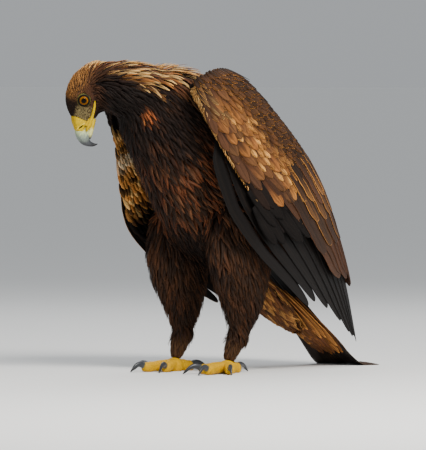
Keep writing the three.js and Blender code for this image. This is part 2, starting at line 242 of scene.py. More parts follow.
class Surface:
    """An even mesh with what is worked out at its points."""

    def __init__(self, points, quads):
        self.points, self.quads = points, quads
        pairs = rows(*[quads[:, [k, (k + 1) % 4]] for k in range(4)])
        self.a, self.b = rows(pairs, pairs[:, ::-1]).T
        self.count = np.maximum(np.bincount(self.a, minlength=len(points)), 1)[:, None]

    def blurred(self, values, times):
        """Values at the points, each drawn half way to its neighbours' mean a number of times."""
        values = np.asarray(values, float)
        flat = values.reshape(len(values), -1)
        for _ in range(times):
            sums = np.stack([np.bincount(self.a, flat[self.b, k], len(flat))
                             for k in range(flat.shape[1])], axis=1)
            flat = lerp(flat, sums / self.count, 0.5)
        return flat.reshape(values.shape)

    def crosses(self):
        """Each quad's normal, twice as long as its area."""
        p = self.points[self.quads]
        return np.cross(p[:, 2] - p[:, 0], p[:, 3] - p[:, 1])

    def find_normals(self):
        face = self.crosses()
        total = np.zeros_like(self.points)
        for k in range(4):
            np.add.at(total, self.quads[:, k], face)
        self.normals = unit(total)

    def find_tree(self):
        self.tree = BVHTree.FromPolygons(self.points.tolist(), self.quads.tolist())

    def at_faces(self, values, faces):
        return values[self.quads[faces]].mean(axis=1)


def distance_to(node, points, reach):
    """Distance from each point to a CAD node, up to `reach`."""
    corners, tris = node_mesh(node)
    tree = BVHTree.FromPolygons(corners.tolist(), tris.tolist())
    found = np.full(len(points), float(reach))
    near = np.all((points > corners.min(0) - reach) & (points < corners.max(0) + reach), axis=1)
    for i in np.flatnonzero(near):
        hit = tree.find_nearest(points[i], reach)
        if hit[0] is not None:
            found[i] = hit[3]
    return found


# ---- The head's own frame: -Y forward, +Z up, with its origin between the eyes ----

HEAD_AT = np.array([-56.0, -203.0, 437.0])
HEAD_TURN, HEAD_BOW = 43.0, 81.0
HEAD_AXES = np.array(Matrix.Rotation(math.radians(-HEAD_TURN), 3, "Z")
                     @ Matrix.Rotation(math.radians(HEAD_BOW), 3, "X"))
BILL_BASE = np.array([0.0, -44.0, -4.0])
EYE_RADIUS, EYE_OUT = 11.4, 18.4
PUPIL, IRIS = 18.0, 38.0  # degrees from the line of sight, on the ball


def from_head(p):
    return np.asarray(p) @ HEAD_AXES.T + HEAD_AT


def to_head(p):
    return (np.asarray(p) - HEAD_AT) @ HEAD_AXES


# ---- Skin ----

# Per region: depth of the coat, space between roots, length and half-width, all in millimetres.
BUILD = {
    "head": (2.2, 2.3, 10.0, 1.3), "neck": (6, 3.7, 30, 2.5), "trunk": (8, 3.7, 30, 2.8),
    "undertail": (6, 6.0, 60, 6.2), "wing": (1.3, 6.0, 20, 5.0), "thigh": (8, 3.7, 31, 2.4),
    "shank": (2.6, 2.7, 14, 1.5),
}
DEPTH, SPACING, LENGTH, HALF_WIDTH = range(4)
REGIONS = tuple(BUILD)
REGION_NODES = {
    "head": ["head"], "neck": ["neck"], "trunk": ["trunk"], "undertail": ["undertail_coverts"],
    "wing": ["wing_arm_left", "wing_arm_right"], "thigh": ["thigh_left", "thigh_right"],
    "shank": ["shank_left", "shank_right"],
}
FLESH = [node for region in REGIONS for node in REGION_NODES[region]]
SKIN_VOXEL, SKIN_GROW = 2.3, 0.9
SHARE_REACH = 30.0  # how far from the skin a region's own node is looked for
BREAST_SUNK = 5.0


def blended(share, column):
    """One column of BUILD at points that belong to the regions in these shares."""
    return share @ np.array([BUILD[region][column] for region in REGIONS])


def part_of(share, region):
    return share[:, REGIONS.index(region)]


def breast(points, normals, share):
    """From 0 to 1 where the breast's feathers hang forward."""
    body = part_of(share, "trunk") + part_of(share, "neck")
    return body * smooth(-normals[:, 1], -0.2, 0.5) * (1 - smooth(points[:, 2], 415, 445))


def nape(points, normals):
    """From 0 to 1 where the ridge of the neck's feathers stands fuller than the neck."""
    fuller = np.interp(points[:, 1], (-165, -125, -88, -45, 12), (0, 1, 0.95, 0.4, 0))
    return fuller * smooth(normals[:, 2], 0.2, 0.75) * smooth(points[:, 2], 440, 462)


def make_skin_surface():
    skin = Surface(*remeshed([node_mesh(node) for node in FLESH], SKIN_VOXEL, SKIN_GROW))
    skin.points = skin.blurred(skin.points, 5)
    distance = np.stack([
        np.min([distance_to(node, skin.points, SHARE_REACH) for node in REGION_NODES[region]], axis=0)
        for region in REGIONS], axis=1)
    own = (distance == distance.min(axis=1, keepdims=True)).astype(float)
    own /= own.sum(axis=1, keepdims=True)
    skin.share = skin.blurred(own, 14)
    skin.find_normals()
    depth = blended(skin.share, DEPTH) + BREAST_SUNK * breast(skin.points, skin.normals, skin.share)
    depth = depth - 0.5 * depth * nape(skin.points, skin.normals)
    skin.points = skin.points - skin.normals * (SKIN_GROW + depth)[:, None]
    skin.points = skin.blurred(skin.points, 3)
    skin.find_normals()
    skin.normals = unit(skin.blurred(skin.normals, 3))
    skin.flow = skin_flow(skin)
    skin.find_tree()
    return skin


def across_to(normals, way):
    """The part of `way` that lies along the surface."""
    return way - normals * np.sum(way * normals, axis=1, keepdims=True)


def skin_flow(skin):
    """Which way the coat lies: back from the bill, down the body and out to each tip."""
    x, y, z = skin.points.T
    local = to_head(skin.points)
    head = unit(local - BILL_BASE)
    for _, side in SIDES:
        away = local - [side * EYE_OUT, 0, 0]
        near = 1 - smooth(np.linalg.norm(away, axis=1), 12, 21)
        head = head + 0.8 * near[:, None] * unit(away)
    low = 1 - smooth(z[:, None], 428, 474)
    ones = np.ones(len(x))
    ways = {
        "head": head @ HEAD_AXES.T,
        "neck": lerp(np.array([0.47, 0.88, -0.08]), np.array([0.42, 0.6, -0.68]), low),
        "trunk": np.stack([0.25 * x / 90, 0.62 * ones, -0.78 * ones], axis=1),
        "undertail": np.array([0, 0.77, -0.64]),
        "wing": np.array([0, 0.62, -0.78]),
        "thigh": np.stack([0.12 * np.sign(x), 0.25 + 0.004 * (y - 20), -ones], axis=1),
        "shank": np.array([0, -0.25, -1]),
    }
    flow = sum(unit(ways[region]) * part_of(skin.share, region)[:, None] for region in REGIONS)
    for _ in range(3):
        flow = skin.blurred(unit(across_to(skin.normals, flow)), 9)
    return unit(flow)


# ---- Feathers ----

PATCH = 0.003  # a tuft's size on its piece's OFBake map
PIECE_LIMIT = 190000  # triangles
TRIES = 5  # places tried for each root that could fit


def spread(points, spacing):
    """Which of the points to keep so that none is nearer another than its spacing."""
    cell = float(spacing.max())
    grid, kept = {}, []
    keys = np.floor(points / cell).astype(int).tolist()
    around = [(i, j, k) for i in (-1, 0, 1) for j in (-1, 0, 1) for k in (-1, 0, 1)]
    for n, (key, p, r) in enumerate(zip(keys, points.tolist(), spacing.tolist())):
        reach = r * r
        free = True
        for i, j, k in around:
            for q in grid.get((key[0] + i, key[1] + j, key[2] + k), ()):
                if (p[0] - q[0]) ** 2 + (p[1] - q[1]) ** 2 + (p[2] - q[2]) ** 2 < reach:
                    free = False
                    break
            if not free:
                break
        if free:
            grid.setdefault(tuple(key), []).append(p)
            kept.append(n)
    return np.array(kept, int)


def scattered(surface, spacing):
    """Roots spread over a surface as (points, faces). spacing is given at its points, 0 for bare."""
    every = np.arange(len(surface.quads))
    gap = surface.at_faces(spacing, every)
    bare = surface.at_faces((spacing <= 0).astype(float), every) > 0
    area = np.linalg.norm(surface.crosses(), axis=1) / 2
    weight = np.where(bare, 0, area / np.maximum(gap, 0.5) ** 2)
    count = int(weight.sum() * TRIES)
    faces = rng.choice(len(gap), count, p=weight / weight.sum())
    a, b = rng.random((2, count, 1))
    p = surface.points[surface.quads[faces]]
    points = lerp(lerp(p[:, 0], p[:, 1], a), lerp(p[:, 3], p[:, 2], a), b)
    kept = spread(points, gap[faces])
    return points[kept], faces[kept]


def turned(v, axis, angle):
    """Vectors turned about unit axes square to them."""
    return v * np.cos(angle)[:, None] + np.cross(axis, v) * np.sin(angle)[:, None]


def along(line, t):
    """Points at t on lines given at even steps, (feathers, steps, 3)."""
    steps = line.shape[1]
    x = np.asarray(t) * (steps - 1)
    i = np.minimum(x.astype(int), steps - 2)
    w = (x - i)[None, :, None]
    return line[:, i] * (1 - w) + line[:, i + 1] * w


def laid_on(surface, roots, faces, length, steps, turn, stations):
    """Middle lines of feathers that follow the flow over a surface, as (spine, up) at the stations."""
    spine, up = [], []
    p = roots
    for k in range(steps):
        if k:
            found = [surface.tree.find_nearest(q) for q in p.tolist()]
            p = np.array([f[0] for f in found])
            faces = np.array([f[2] for f in found])
        n = unit(surface.at_faces(surface.normals, faces))
        way = turned(unit(across_to(n, surface.at_faces(surface.flow, faces))), n, turn)
        spine.append(p)
        up.append(n)
        p = p + way * (length / (steps - 1))[:, None]
    return along(np.stack(spine, 1), stations), unit(along(np.stack(up, 1), stations))


def leaf(t, widest, root, sharp):
    """Half-width along a feather: `root` at its foot, 1 at `widest`, then down to its tip."""
    t = np.asarray(t)
    rise = root + (1 - root) * np.sin(np.clip(t / widest, 0, 1) * math.pi / 2)
    fall = 1 - np.clip((t - widest) / (1 - widest), 0, 1) ** sharp
    return rise * fall


class Coat:
    """Gathers feathers of one build and makes them into pieces."""

    def __init__(self, stations, broad=False):
        self.across = np.array((-1, -0.55, 0, 0.55, 1) if broad else (-1, 0, 1), float)
        self.stations = np.asarray(stations, float)
        self.sets = []

    def add(self, spine, up, half, rise, base, edge, traits, camber=0.25, thick=0.35, ragged=0.1):
        """half and rise are (feathers, stations) in mm; base and edge are colours per feather;
        traits are (edge width, shaft, streak, wash) per feather."""
        count, steps = spine.shape[:2]
        way = unit(np.gradient(spine, axis=1))
        side = unit(np.cross(way, up))
        c = self.across
        uneven = 1 + ragged * rng.uniform(-1, 1, (count, steps, len(c)))
        reach = half[..., None] * c * uneven
        sag = -camber * half[..., None] * np.abs(c) ** 1.6
        top = (spine[:, :, None] + side[:, :, None] * reach[..., None]
               + up[:, :, None] * (rise[..., None] + sag)[..., None])
        under = spine + up * (rise - thick - 0.45 * camber * half)[..., None]
        ring = np.concatenate([top, under[:, :, None]], axis=2)
        end = spine[:, -1] + way[:, -1] * half[:, [-1]] * 0.9
        end = end + up[:, -1] * (rise[:, [-1]] - 0.3 * thick)
        points = np.concatenate([ring.reshape(count, -1, 3), end[:, None]], axis=1)
        base = np.concatenate([base, rng.random((count, 1))], axis=1)
        edge = np.concatenate([edge, traits[:, :1]], axis=1)
        self.sets.append((points, base, edge, traits))

    def faces(self):
        ring, steps = len(self.across) + 1, len(self.stations)
        last = (steps - 1) * ring
        j = np.arange(ring)
        tip = np.stack([last + j, last + (j + 1) % ring, np.full(ring, steps * ring)], -1)
        foot = np.array([[0, m + 1, m] for m in range(1, ring - 1)])
        return ring_quads(steps, ring), rows(tip, foot)

    def vane_uv(self):
        ring = len(self.across) + 1
        uv = np.empty((len(self.stations), ring, 2))
        uv[..., 0] = np.append((self.across + 1) / 2, 0.5)
        uv[..., 1] = self.stations[:, None]
        uv[0, 1:ring - 1, 1] += 0.04
        uv[0, ring - 1, 1] -= 0.04
        return rows(uv.reshape(-1, 2), [[0.5, 1.0]])

    def make(self, name, slot):
        points, *layers = [rows(*parts) for parts in zip(*self.sets)]
        kinds = self.faces()
        triangles = sum(len(kind) * (kind.shape[1] - 2) for kind in kinds)
        order = np.argsort(points[:, 0, 2])[::-1]
        groups = np.array_split(order, -(-len(order) * triangles // PIECE_LIMIT))
        uv = self.vane_uv()
        for n, group in enumerate(groups):
            count, size = len(group), points.shape[1]
            first = (np.arange(count) * size)[:, None, None]
            patch = patches(unwrapped(points[group, 0]))
            bake = patch[:, None] + np.clip(uv, 0, 1) * PATCH
            colours = {layer: np.repeat(values[group], size, 0)
                       for layer, values in zip(("base", "edge", "traits"), layers)}
            add_mesh(name if len(groups) == 1 else f"{name}_{n + 1}", points[group].reshape(-1, 3),
                     [(kind + first).reshape(-1, kind.shape[1]) for kind in kinds], MATERIALS["soft"],
                     {"OFBake": bake.reshape(-1, 2), "vane": np.tile(uv, (count, 1))}, colours)


def ranks(x):
    """Each value's place in order, from 0 to 1."""
    return np.argsort(np.argsort(x)) / max(len(x) - 1, 1)


def unwrapped(roots):
    """The roots on an unwrap of the skin round its own long axis, evened out over the square."""
    centred = roots - roots.mean(axis=0)
    axes = np.linalg.svd(centred, full_matrices=False)[2]
    lengthways, a, b = (centred @ axes.T).T
    return np.stack([ranks(np.arctan2(a, b)), ranks(lengthways)], axis=1) * 0.98 + 0.01


def patches(place):
    """A cell of its own for each tuft, as near as can be to its place on the unwrap."""
    cells = int(1 / (1.2 * PATCH))
    taken, found = set(), []
    for x, y in np.clip(place * cells, 0, cells - 1).astype(int).tolist():
        reach = 0
        while True:
            ring = [(i, j) for i in range(-reach, reach + 1) for j in range(-reach, reach + 1)
                    if max(abs(i), abs(j)) == reach]
            free = [(x + i, y + j) for i, j in ring
                    if 0 <= x + i < cells and 0 <= y + j < cells and (x + i, y + j) not in taken]
            if free:
                break
            reach += 1
        taken.add(free[0])
        found.append(free[0])
    return np.array(found) / cells


# ---- Materials ----


class Nodes:
    """Short ways to write a material's node tree."""

    def __init__(self, name, **settings):
        self.material = bpy.data.materials.new(name)
        self.material.use_nodes = True
        self.tree = self.material.node_tree
        self.shader = self.tree.nodes["Principled BSDF"]
        for socket, value in settings.items():
            self.shader.inputs[socket.replace("_", " ")].default_value = value

    def put(self, kind, *inputs, out=0, **settings):
        """Adds a node; settings in capitals are its sockets, the others are its properties."""
        node = self.tree.nodes.new("ShaderNode" + kind)
        named = {k: v for k, v in settings.items() if k[0].isupper()}
        for key, value in settings.items():
            if key not in named:
                setattr(node, key, value)
        for key, value in [*enumerate(inputs), *named.items()]:
            if value is not None:
                self.join(value, node.inputs[key])
        return node.outputs[out]

    def join(self, value, socket):
        if isinstance(value, bpy.types.NodeSocket):
            self.tree.links.new(value, socket)
        elif socket.type == "RGBA" and len(value) == 3:
            socket.default_value = (*value, 1)
        else:
            socket.default_value = value

    def attribute(self, name):
        return self.put("Attribute", attribute_name=name, attribute_type="GEOMETRY")

    def split(self, kind, value, count):
        return self.put(kind, value).node.outputs[:count]

    def math(self, operation, *values):
        return self.put("Math", *values, operation=operation)

    def plus(self, a, b):
        return self.math("ADD", a, b)

    def times(self, a, b):
        return self.math("MULTIPLY", a, b)

    def scaled(self, value, factor, offset):
        return self.math("MULTIPLY_ADD", value, factor, offset)

    def ramp(self, value, low, high, to_low=0.0, to_high=1.0):
        return self.put("MapRange", value, low, high, to_low, to_high, interpolation_type="SMOOTHSTEP")

    def mix(self, factor, a, b, blend="MIX"):
        node = self.tree.nodes.new("ShaderNodeMix")
        node.data_type, node.blend_type = "RGBA", blend
        for key, value in ((0, factor), (6, a), (7, b)):
            self.join(value, node.inputs[key])
        return node.outputs[2]

    def darker(self, colour, tint):
        return self.mix(1.0, colour, tint, "MULTIPLY")

    def shaded(self, colour, shade):
        """The colour times a grey."""
        return self.darker(colour, self.put("CombineColor", shade, shade, shade))

    def noise(self, vector, scale, detail=3.0, roughness=0.55):
        return self.put("TexNoise", vector, None, scale, detail, roughness)

    def finished(self, colour, height=None, strength=0.0, distance=0.0):
        """The material, with its colour and a relief on its shader."""
        self.join(colour, self.shader.inputs["Base Color"])
        if height is not None:
            bumped = self.put("Bump", strength, distance, Height=height)
            self.join(bumped, self.shader.inputs["Normal"])
        return self.material


SHAFT_TONE = (0.012, 0.008, 0.006)


def feather_material(name, barb_lines, roughness, specular, relief):
    """Feathers: coloured by their own base, edge and traits, with shafts, barbs and streaks."""
    m = Nodes(name, Roughness=roughness, Specular_IOR_Level=specular)
    base, edge, traits = m.attribute("base"), m.attribute("edge"), m.attribute("traits")
    own, wash = base.node.outputs["Alpha"], traits.node.outputs["Alpha"]
    edge_width, shaft, streak = m.split("SeparateColor", traits, 3)
    s, t = m.split("SeparateXYZ", m.put("UVMap", uv_map="vane"), 2)
    side = m.math("ABSOLUTE", m.scaled(s, 2.0, -1.0))
    # Barbs leave the shaft towards the tip; streaks lie along the vane.
    barb = m.math("SUBTRACT", m.times(t, 3.0), m.times(side, 0.45))
    lines = m.noise(m.put("CombineXYZ", m.times(barb, barb_lines), side, m.times(own, 90.0)),
                    1.0, 2.0, 0.6)
    hairs = m.noise(m.put("CombineXYZ", m.times(s, 9.0), m.times(t, 1.6), m.times(own, 70.0)),
                    1.0, 3.0, 0.65)
    rim = m.plus(m.math("MAXIMUM", side, m.ramp(t, 0.72, 1.0)), m.scaled(lines, 0.3, -0.15))
    inner = m.math("SUBTRACT", 1.0, edge_width)
    fringe = m.times(m.ramp(rim, inner, m.plus(inner, 0.22)), m.math("GREATER_THAN", edge_width, 0.01))
    # The edge's colour also washes back from the tip.
    washed = m.ramp(m.scaled(hairs, 0.5, m.plus(t, -0.25)), 0.38, 0.97)
    colour = m.mix(m.math("MAXIMUM", fringe, m.times(washed, wash)), base, edge)
    stem = m.times(m.ramp(side, 0.05, 0.13, 1.0, 0.0), shaft)
    colour = m.mix(stem, colour, m.mix(0.75, colour, SHAFT_TONE))
    tone = m.scaled(m.math("SUBTRACT", lines, 0.5), 0.55, 1.0)
    tone = m.times(tone, m.scaled(m.times(m.math("SUBTRACT", hairs, 0.5), streak), 2.6, 1.0))
    # Painted shade: each feather is painted darker towards its root, where the feathers over it would
    # shade it.
    tone = m.times(tone, m.ramp(t, 0.05, 0.55, 0.55, 1.0))
    ridge = m.times(m.ramp(side, 0.0, 0.12, 1.0, 0.0), 0.8)
    height = m.plus(m.plus(lines, m.times(hairs, 0.6)), ridge)
    return m.finished(m.shaded(colour, tone), height, relief, 0.0006)


def horn_material():
    """Bill and talons: their own tones under a thin gloss, with fine growth lines."""
    m = Nodes("horn", Roughness=0.3, Specular_IOR_Level=0.3, Coat_Weight=0.1, Coat_Roughness=0.2)
    place = m.put("TexCoord", out=3)
    grain, cloud = m.noise(place, 700.0, 4.0), m.noise(place, 160.0, 3.0)
    shade = m.scaled(grain, 0.3, m.scaled(cloud, 0.4, 0.65))
    return m.finished(m.shaded(m.attribute("tone"), shade), m.plus(grain, cloud), 0.25, 0.0004)


def bare_material():
    """Cere, gape, lids and toes: waxy skin with pores and creases."""
    m = Nodes("bare_skin", Roughness=0.45, Specular_IOR_Level=0.08)
    place = m.put("TexCoord", out=3)
    cells = m.put("TexVoronoi", place, None, 620.0, feature="DISTANCE_TO_EDGE")
    crease, cloud = m.ramp(cells, 0.0, 0.12), m.noise(place, 260.0, 4.0)
    # The creases are painted darker, as painted shade in them.
    shade = m.times(m.scaled(crease, 0.22, 0.82), m.scaled(cloud, 0.5, 0.78))
    height = m.plus(crease, m.times(cloud, 0.6))
    return m.finished(m.shaded(m.attribute("tone"), shade), height, 0.35, 0.0005)


def eye_material():
    """Pupil, amber iris with fine spokes and a dark ring, by the angle from the line of sight."""
    m = Nodes("eye", Roughness=0.25, Specular_IOR_Level=0.04, Coat_Weight=0.06, Coat_Roughness=0.03)
    polar, x, y = m.split("SeparateColor", m.attribute("gaze"), 3)

    def from_degrees(low, high):
        return m.ramp(polar, low / 180, high / 180)

    spokes = m.noise(m.put("CombineXYZ", x, y, m.times(polar, 0.6)), 26.0, 4.0, 0.7)
    specks = m.noise(m.put("CombineXYZ", x, y, m.times(polar, 8.0)), 9.0, 3.0)
    iris = m.mix(from_degrees(PUPIL + 1, 31), (0.05, 0.016, 0.002), (0.3, 0.115, 0.003))
    iris = m.mix(m.ramp(spokes, 0.35, 0.7), m.darker(iris, (0.5, 0.38, 0.3)), iris)
    iris = m.mix(m.times(m.ramp(specks, 0.5, 0.75), 0.45), iris, (0.4, 0.2, 0.01))
    iris = m.mix(from_degrees(34, 37.5), iris, (0.02, 0.01, 0.005))
    return m.finished(m.mix(from_degrees(PUPIL - 0.4, PUPIL + 0.4), (0.001, 0.001, 0.001), iris))


def skin_material():
    """Bare skin and down under the coat, in the colour of the feathers over it."""
    m = Nodes("under_down", Roughness=0.9, Specular_IOR_Level=0.15)
    base = m.attribute("base")
    tufts = m.noise(m.put("TexCoord", out=3), 900.0, 4.0)
    colour = m.mix(m.ramp(tufts, 0.3, 0.8), m.darker(base, (0.55, 0.5, 0.45)), base)
    return m.finished(colour, tufts, 0.8, 0.001)


MATERIALS = {
    "soft": feather_material("soft_feather", 26.0, 0.7, 0.07, 0.5),
    "quill": feather_material("stiff_feather", 70.0, 0.5, 0.1, 0.35),
    "down": skin_material(),
    "horn": horn_material(),
    "bare_skin": bare_material(),
    "eye": eye_material(),
}


# ---- The body's coat ----

TONES = {name: from_hex(code) for name, code in {
    # Feathers.
    "black": "141110", "dark": "1d1614", "umber": "2c2019", "brown": "442e21", "copper": "533321",
    "warm": "623d24", "fox": "72482d", "rufous": "7b3e1e", "buff": "8b643d", "khaki": "897b54",
    "grey": "5f564a", "gold": "a0692b", "orange": "d07038", "honey": "b57337", "tan": "db9548",
    "bleached": "efab5a", "cream": "f2c27a", "white": "f4e4c0",
    # Bill, face and feet.
    "yellow": "b99d00", "amber": "b08000", "pale": "dcc24c", "horn": "a9b688", "base": "c8c47a",
    "steel": "737e73", "slate": "393b3f", "jet": "17181b", "nostril": "0e0905", "lid": "0a0909",
    "ring": "6f6a34", "toe": "c09200", "toe_dark": "7d4a00", "toe_pale": "d2a52c",
}.items()}
GOLD_LINE_Y = (-207, -185, -151, -130, -111, -94, -60)
GOLD_LINE_Z = (475, 465, 454, 459, 457, 464, 466)  # the golden nape's lower edge on the neck
PATCH_AT, PATCH_SIZE = np.array([31, -168, 420]), np.array([16, 25, 17])  # orange, on the breast
EYE_CLEAR = 13.2  # bare round each eye
TOES_TOP = 22.0  # no feathers under this height
# Feathers with a build of their own: space between roots, length and half-width.
MANTLE_BUILD, HACKLE_BUILD, LOOSE_BUILD = (8.0, 44.0, 9.5), (6.4, 42.0, 2.9), (5.4, 50.0, 4.0)
HACKLE_GAP_ON_HEAD = 3.2
BODY_STEPS, EDGE_STEPS = 6, 5  # places along a feather where it is laid back on the skin


class Place:
    """Where points are on the bird, as amounts from 0 to 1 of each part's character."""

    def __init__(self, points, normals, share):
        head, neck, trunk, undertail, _, thigh, shank = share.T
        local = to_head(points)
        x, y, z = points.T
        up = local[:, 2]
        forward = np.where(head > 0.2, -local[:, 1], -80.0)
        uneven = 5 * (value_noise(points, 7.0, 41) - 0.5)
        head_gold = smooth(up - 0.477 * np.minimum(forward, 0) + uneven, -25, -9)
        line = np.interp(y, GOLD_LINE_Y, GOLD_LINE_Z)
        neck_gold = smooth(z - line + 1.6 * uneven, -5, 5)
        mantle_gold = smooth(z + uneven, 456, 468) * smooth(-y, 5, 40)
        self.points, self.forward, self.head = points, forward, head
        self.thigh, self.shank, self.undertail = thigh, shank, undertail
        self.crown = head * smooth(up - 0.2 * forward, -2, 15)
        self.cheek = head * (1 - head_gold)
        self.throat = head * smooth(-up, 20, 27)
        self.forehead = head * smooth(forward, 0, 10) * smooth(up, 5, 11)
        self.lore = head * smooth(forward, 9, 14) * smooth(up, -15, -12) * (1 - smooth(up, 7, 11))
        self.hackle = (neck * neck_gold + trunk * mantle_gold
                       + head * smooth(-forward, 26, 44) * head_gold * neck_gold)
        back = smooth(normals @ unit(np.array([0, 0.78, 0.62])), -0.1, 0.3)
        self.back = trunk * back * smooth(y, -150, -60) * (1 - self.hackle)
        self.belly = trunk * (1 - back) * (1 - self.hackle)
        self.breast = breast(points, normals, share)
        self.nape = nape(points, normals)
        self.loose = (self.belly * (1 - smooth(z + 6 * uneven, 330, 410)) * smooth(z, 230, 270)
                      + 0.5 * thigh * smooth(z, 120, 190))
        patch = np.linalg.norm((points - PATCH_AT) / PATCH_SIZE, axis=1)
        self.patch = (1 - smooth(patch, 0.6, 1.1)) * (1 - head)
        self.flank = trunk * bump(z, 320, 60) * smooth(np.abs(x), 40, 70)
        self.eye = np.min([np.linalg.norm(local - [side * EYE_OUT, 0, 0], axis=1)
                           for _, side in SIDES], axis=0)

    def on_head(self, low, high, amount):
        """A factor that runs from low to high over the head and is 1 elsewhere."""
        return lerp(1.0, lerp(low, high, amount), self.head)


def tinted(shape, *layers):
    """Colours from layers of (amount, tone), each over the one before; a tone is named or given."""
    colour = np.zeros((*np.atleast_1d(shape), 3))
    for amount, tone in layers:
        amount = np.broadcast_to(np.asarray(amount, float), colour.shape[:-1])[..., None]
        colour = lerp(colour, TONES[tone] if isinstance(tone, str) else tone, np.clip(amount, 0, 1))
    return colour


def marks(count, *traits):
    """(edge width, shaft, streak, wash) for each feather."""
    return np.stack([np.broadcast_to(np.asarray(v, float), count) for v in traits], axis=1)


def body_colours(place):
    """Base and edge colour and (edge width, shaft, streak, wash) for each point's feather."""
    count = len(place.points)
    luck, other = rng.random((2, count))
    cloud = value_noise(place.points, 34.0, 3)
    wisps = value_noise(place.points * [1, 1, 0.35], 9.0, 5)
    ruddy = place.flank * (luck > 0.5) * smooth(cloud, 0.4, 0.7)
    wispy = smooth(wisps, 0.6, 0.85) * 0.6
    base = tinted(
        count, (1, "dark"), (smooth(cloud, 0.3, 0.6) * 0.8, "black"), (place.belly * wispy, "umber"),
        (place.loose * smooth(cloud, 0.35, 0.65), "umber"),
        (place.loose * (luck > 0.5) * smooth(cloud, 0.4, 0.65), "brown"), (ruddy, "copper"),
        (place.thigh * (0.45 + 0.45 * smooth(cloud, 0.3, 0.7)), "umber"),
        (place.thigh * wispy, "copper"), (place.back, "umber"), (place.back * luck * 0.7, "brown"),
        (place.shank, "umber"), (place.shank * luck, "brown"),
        (place.undertail, "copper"), (place.undertail * luck, "fox"),
        (place.undertail * (other > 0.45), "brown"), (place.undertail * (other > 0.75), "umber"),
        (place.head, "brown"), (place.head * luck * 0.7, "copper"),
        (place.crown * luck * 0.8, "buff"), (place.crown * (other > 0.75), "umber"),
        (place.cheek, "umber"), (place.cheek * cloud, "dark"),
        (place.hackle, "copper"), (place.hackle * smooth(luck, 0.2, 0.6), "umber"),
        # The forehead is painted black: its own dark brown, deepened by painted shade.
        (place.throat, "dark"), (place.forehead, "black"), (place.forehead * luck * 0.5, "umber"),
        (place.lore, "khaki"), (place.lore * (luck > 0.75), "umber"),
        (place.patch, "umber"), (place.patch * luck, "copper"),
    )
    edge = tinted(
        count, (1, "umber"), (place.belly * (luck > 0.7), "brown"),
        (place.belly * (luck > 0.86) * wisps, "warm"), (place.loose, "brown"),
        (place.loose * (luck > 0.4) * smooth(cloud, 0.3, 0.6), "rufous"),
        (place.loose * (luck > 0.8), "fox"), (ruddy, "rufous"),
        (place.thigh, "brown"), (place.thigh * (luck > 0.5), "warm"),
        (place.back, "warm"), (place.back * luck, "buff"), (place.shank, "buff"),
        (place.undertail, "fox"), (place.undertail * luck, "honey"),
        (place.undertail * (luck > 0.7), "bleached"), (place.head, "warm"), (place.crown, "gold"),
        (place.crown * other * smooth(-place.forward, -15, 20), "tan"), (place.cheek, "brown"),
        (place.hackle, "fox"), (place.hackle * (other > 0.3), "honey"),
        (place.hackle * (other > 0.45), "bleached"),
        (place.hackle * smooth(other, 0.5, 0.75), "cream"),
        (place.throat, "umber"), (place.forehead, "brown"), (place.lore, "khaki"),
        (place.lore * other * 0.6, "buff"), (place.patch, "rufous"),
        (place.patch * (luck > 0.4), "orange"), (place.patch * (luck > 0.75), "honey"),
    )
    traits = marks(
        count, 0.28 + 0.12 * place.hackle + 0.1 * luck * place.back,
        0.35 + 0.5 * place.undertail + 0.3 * place.hackle,
        0.5 + 0.4 * place.belly + 0.4 * place.thigh + 0.5 * place.undertail,
        0.2 * luck + 0.75 * place.hackle + 0.3 * place.crown + 0.7 * place.patch
        + 0.3 * place.flank * (luck > 0.5) + 0.4 * place.loose * luck + 0.3 * place.undertail)
    return base, edge, traits


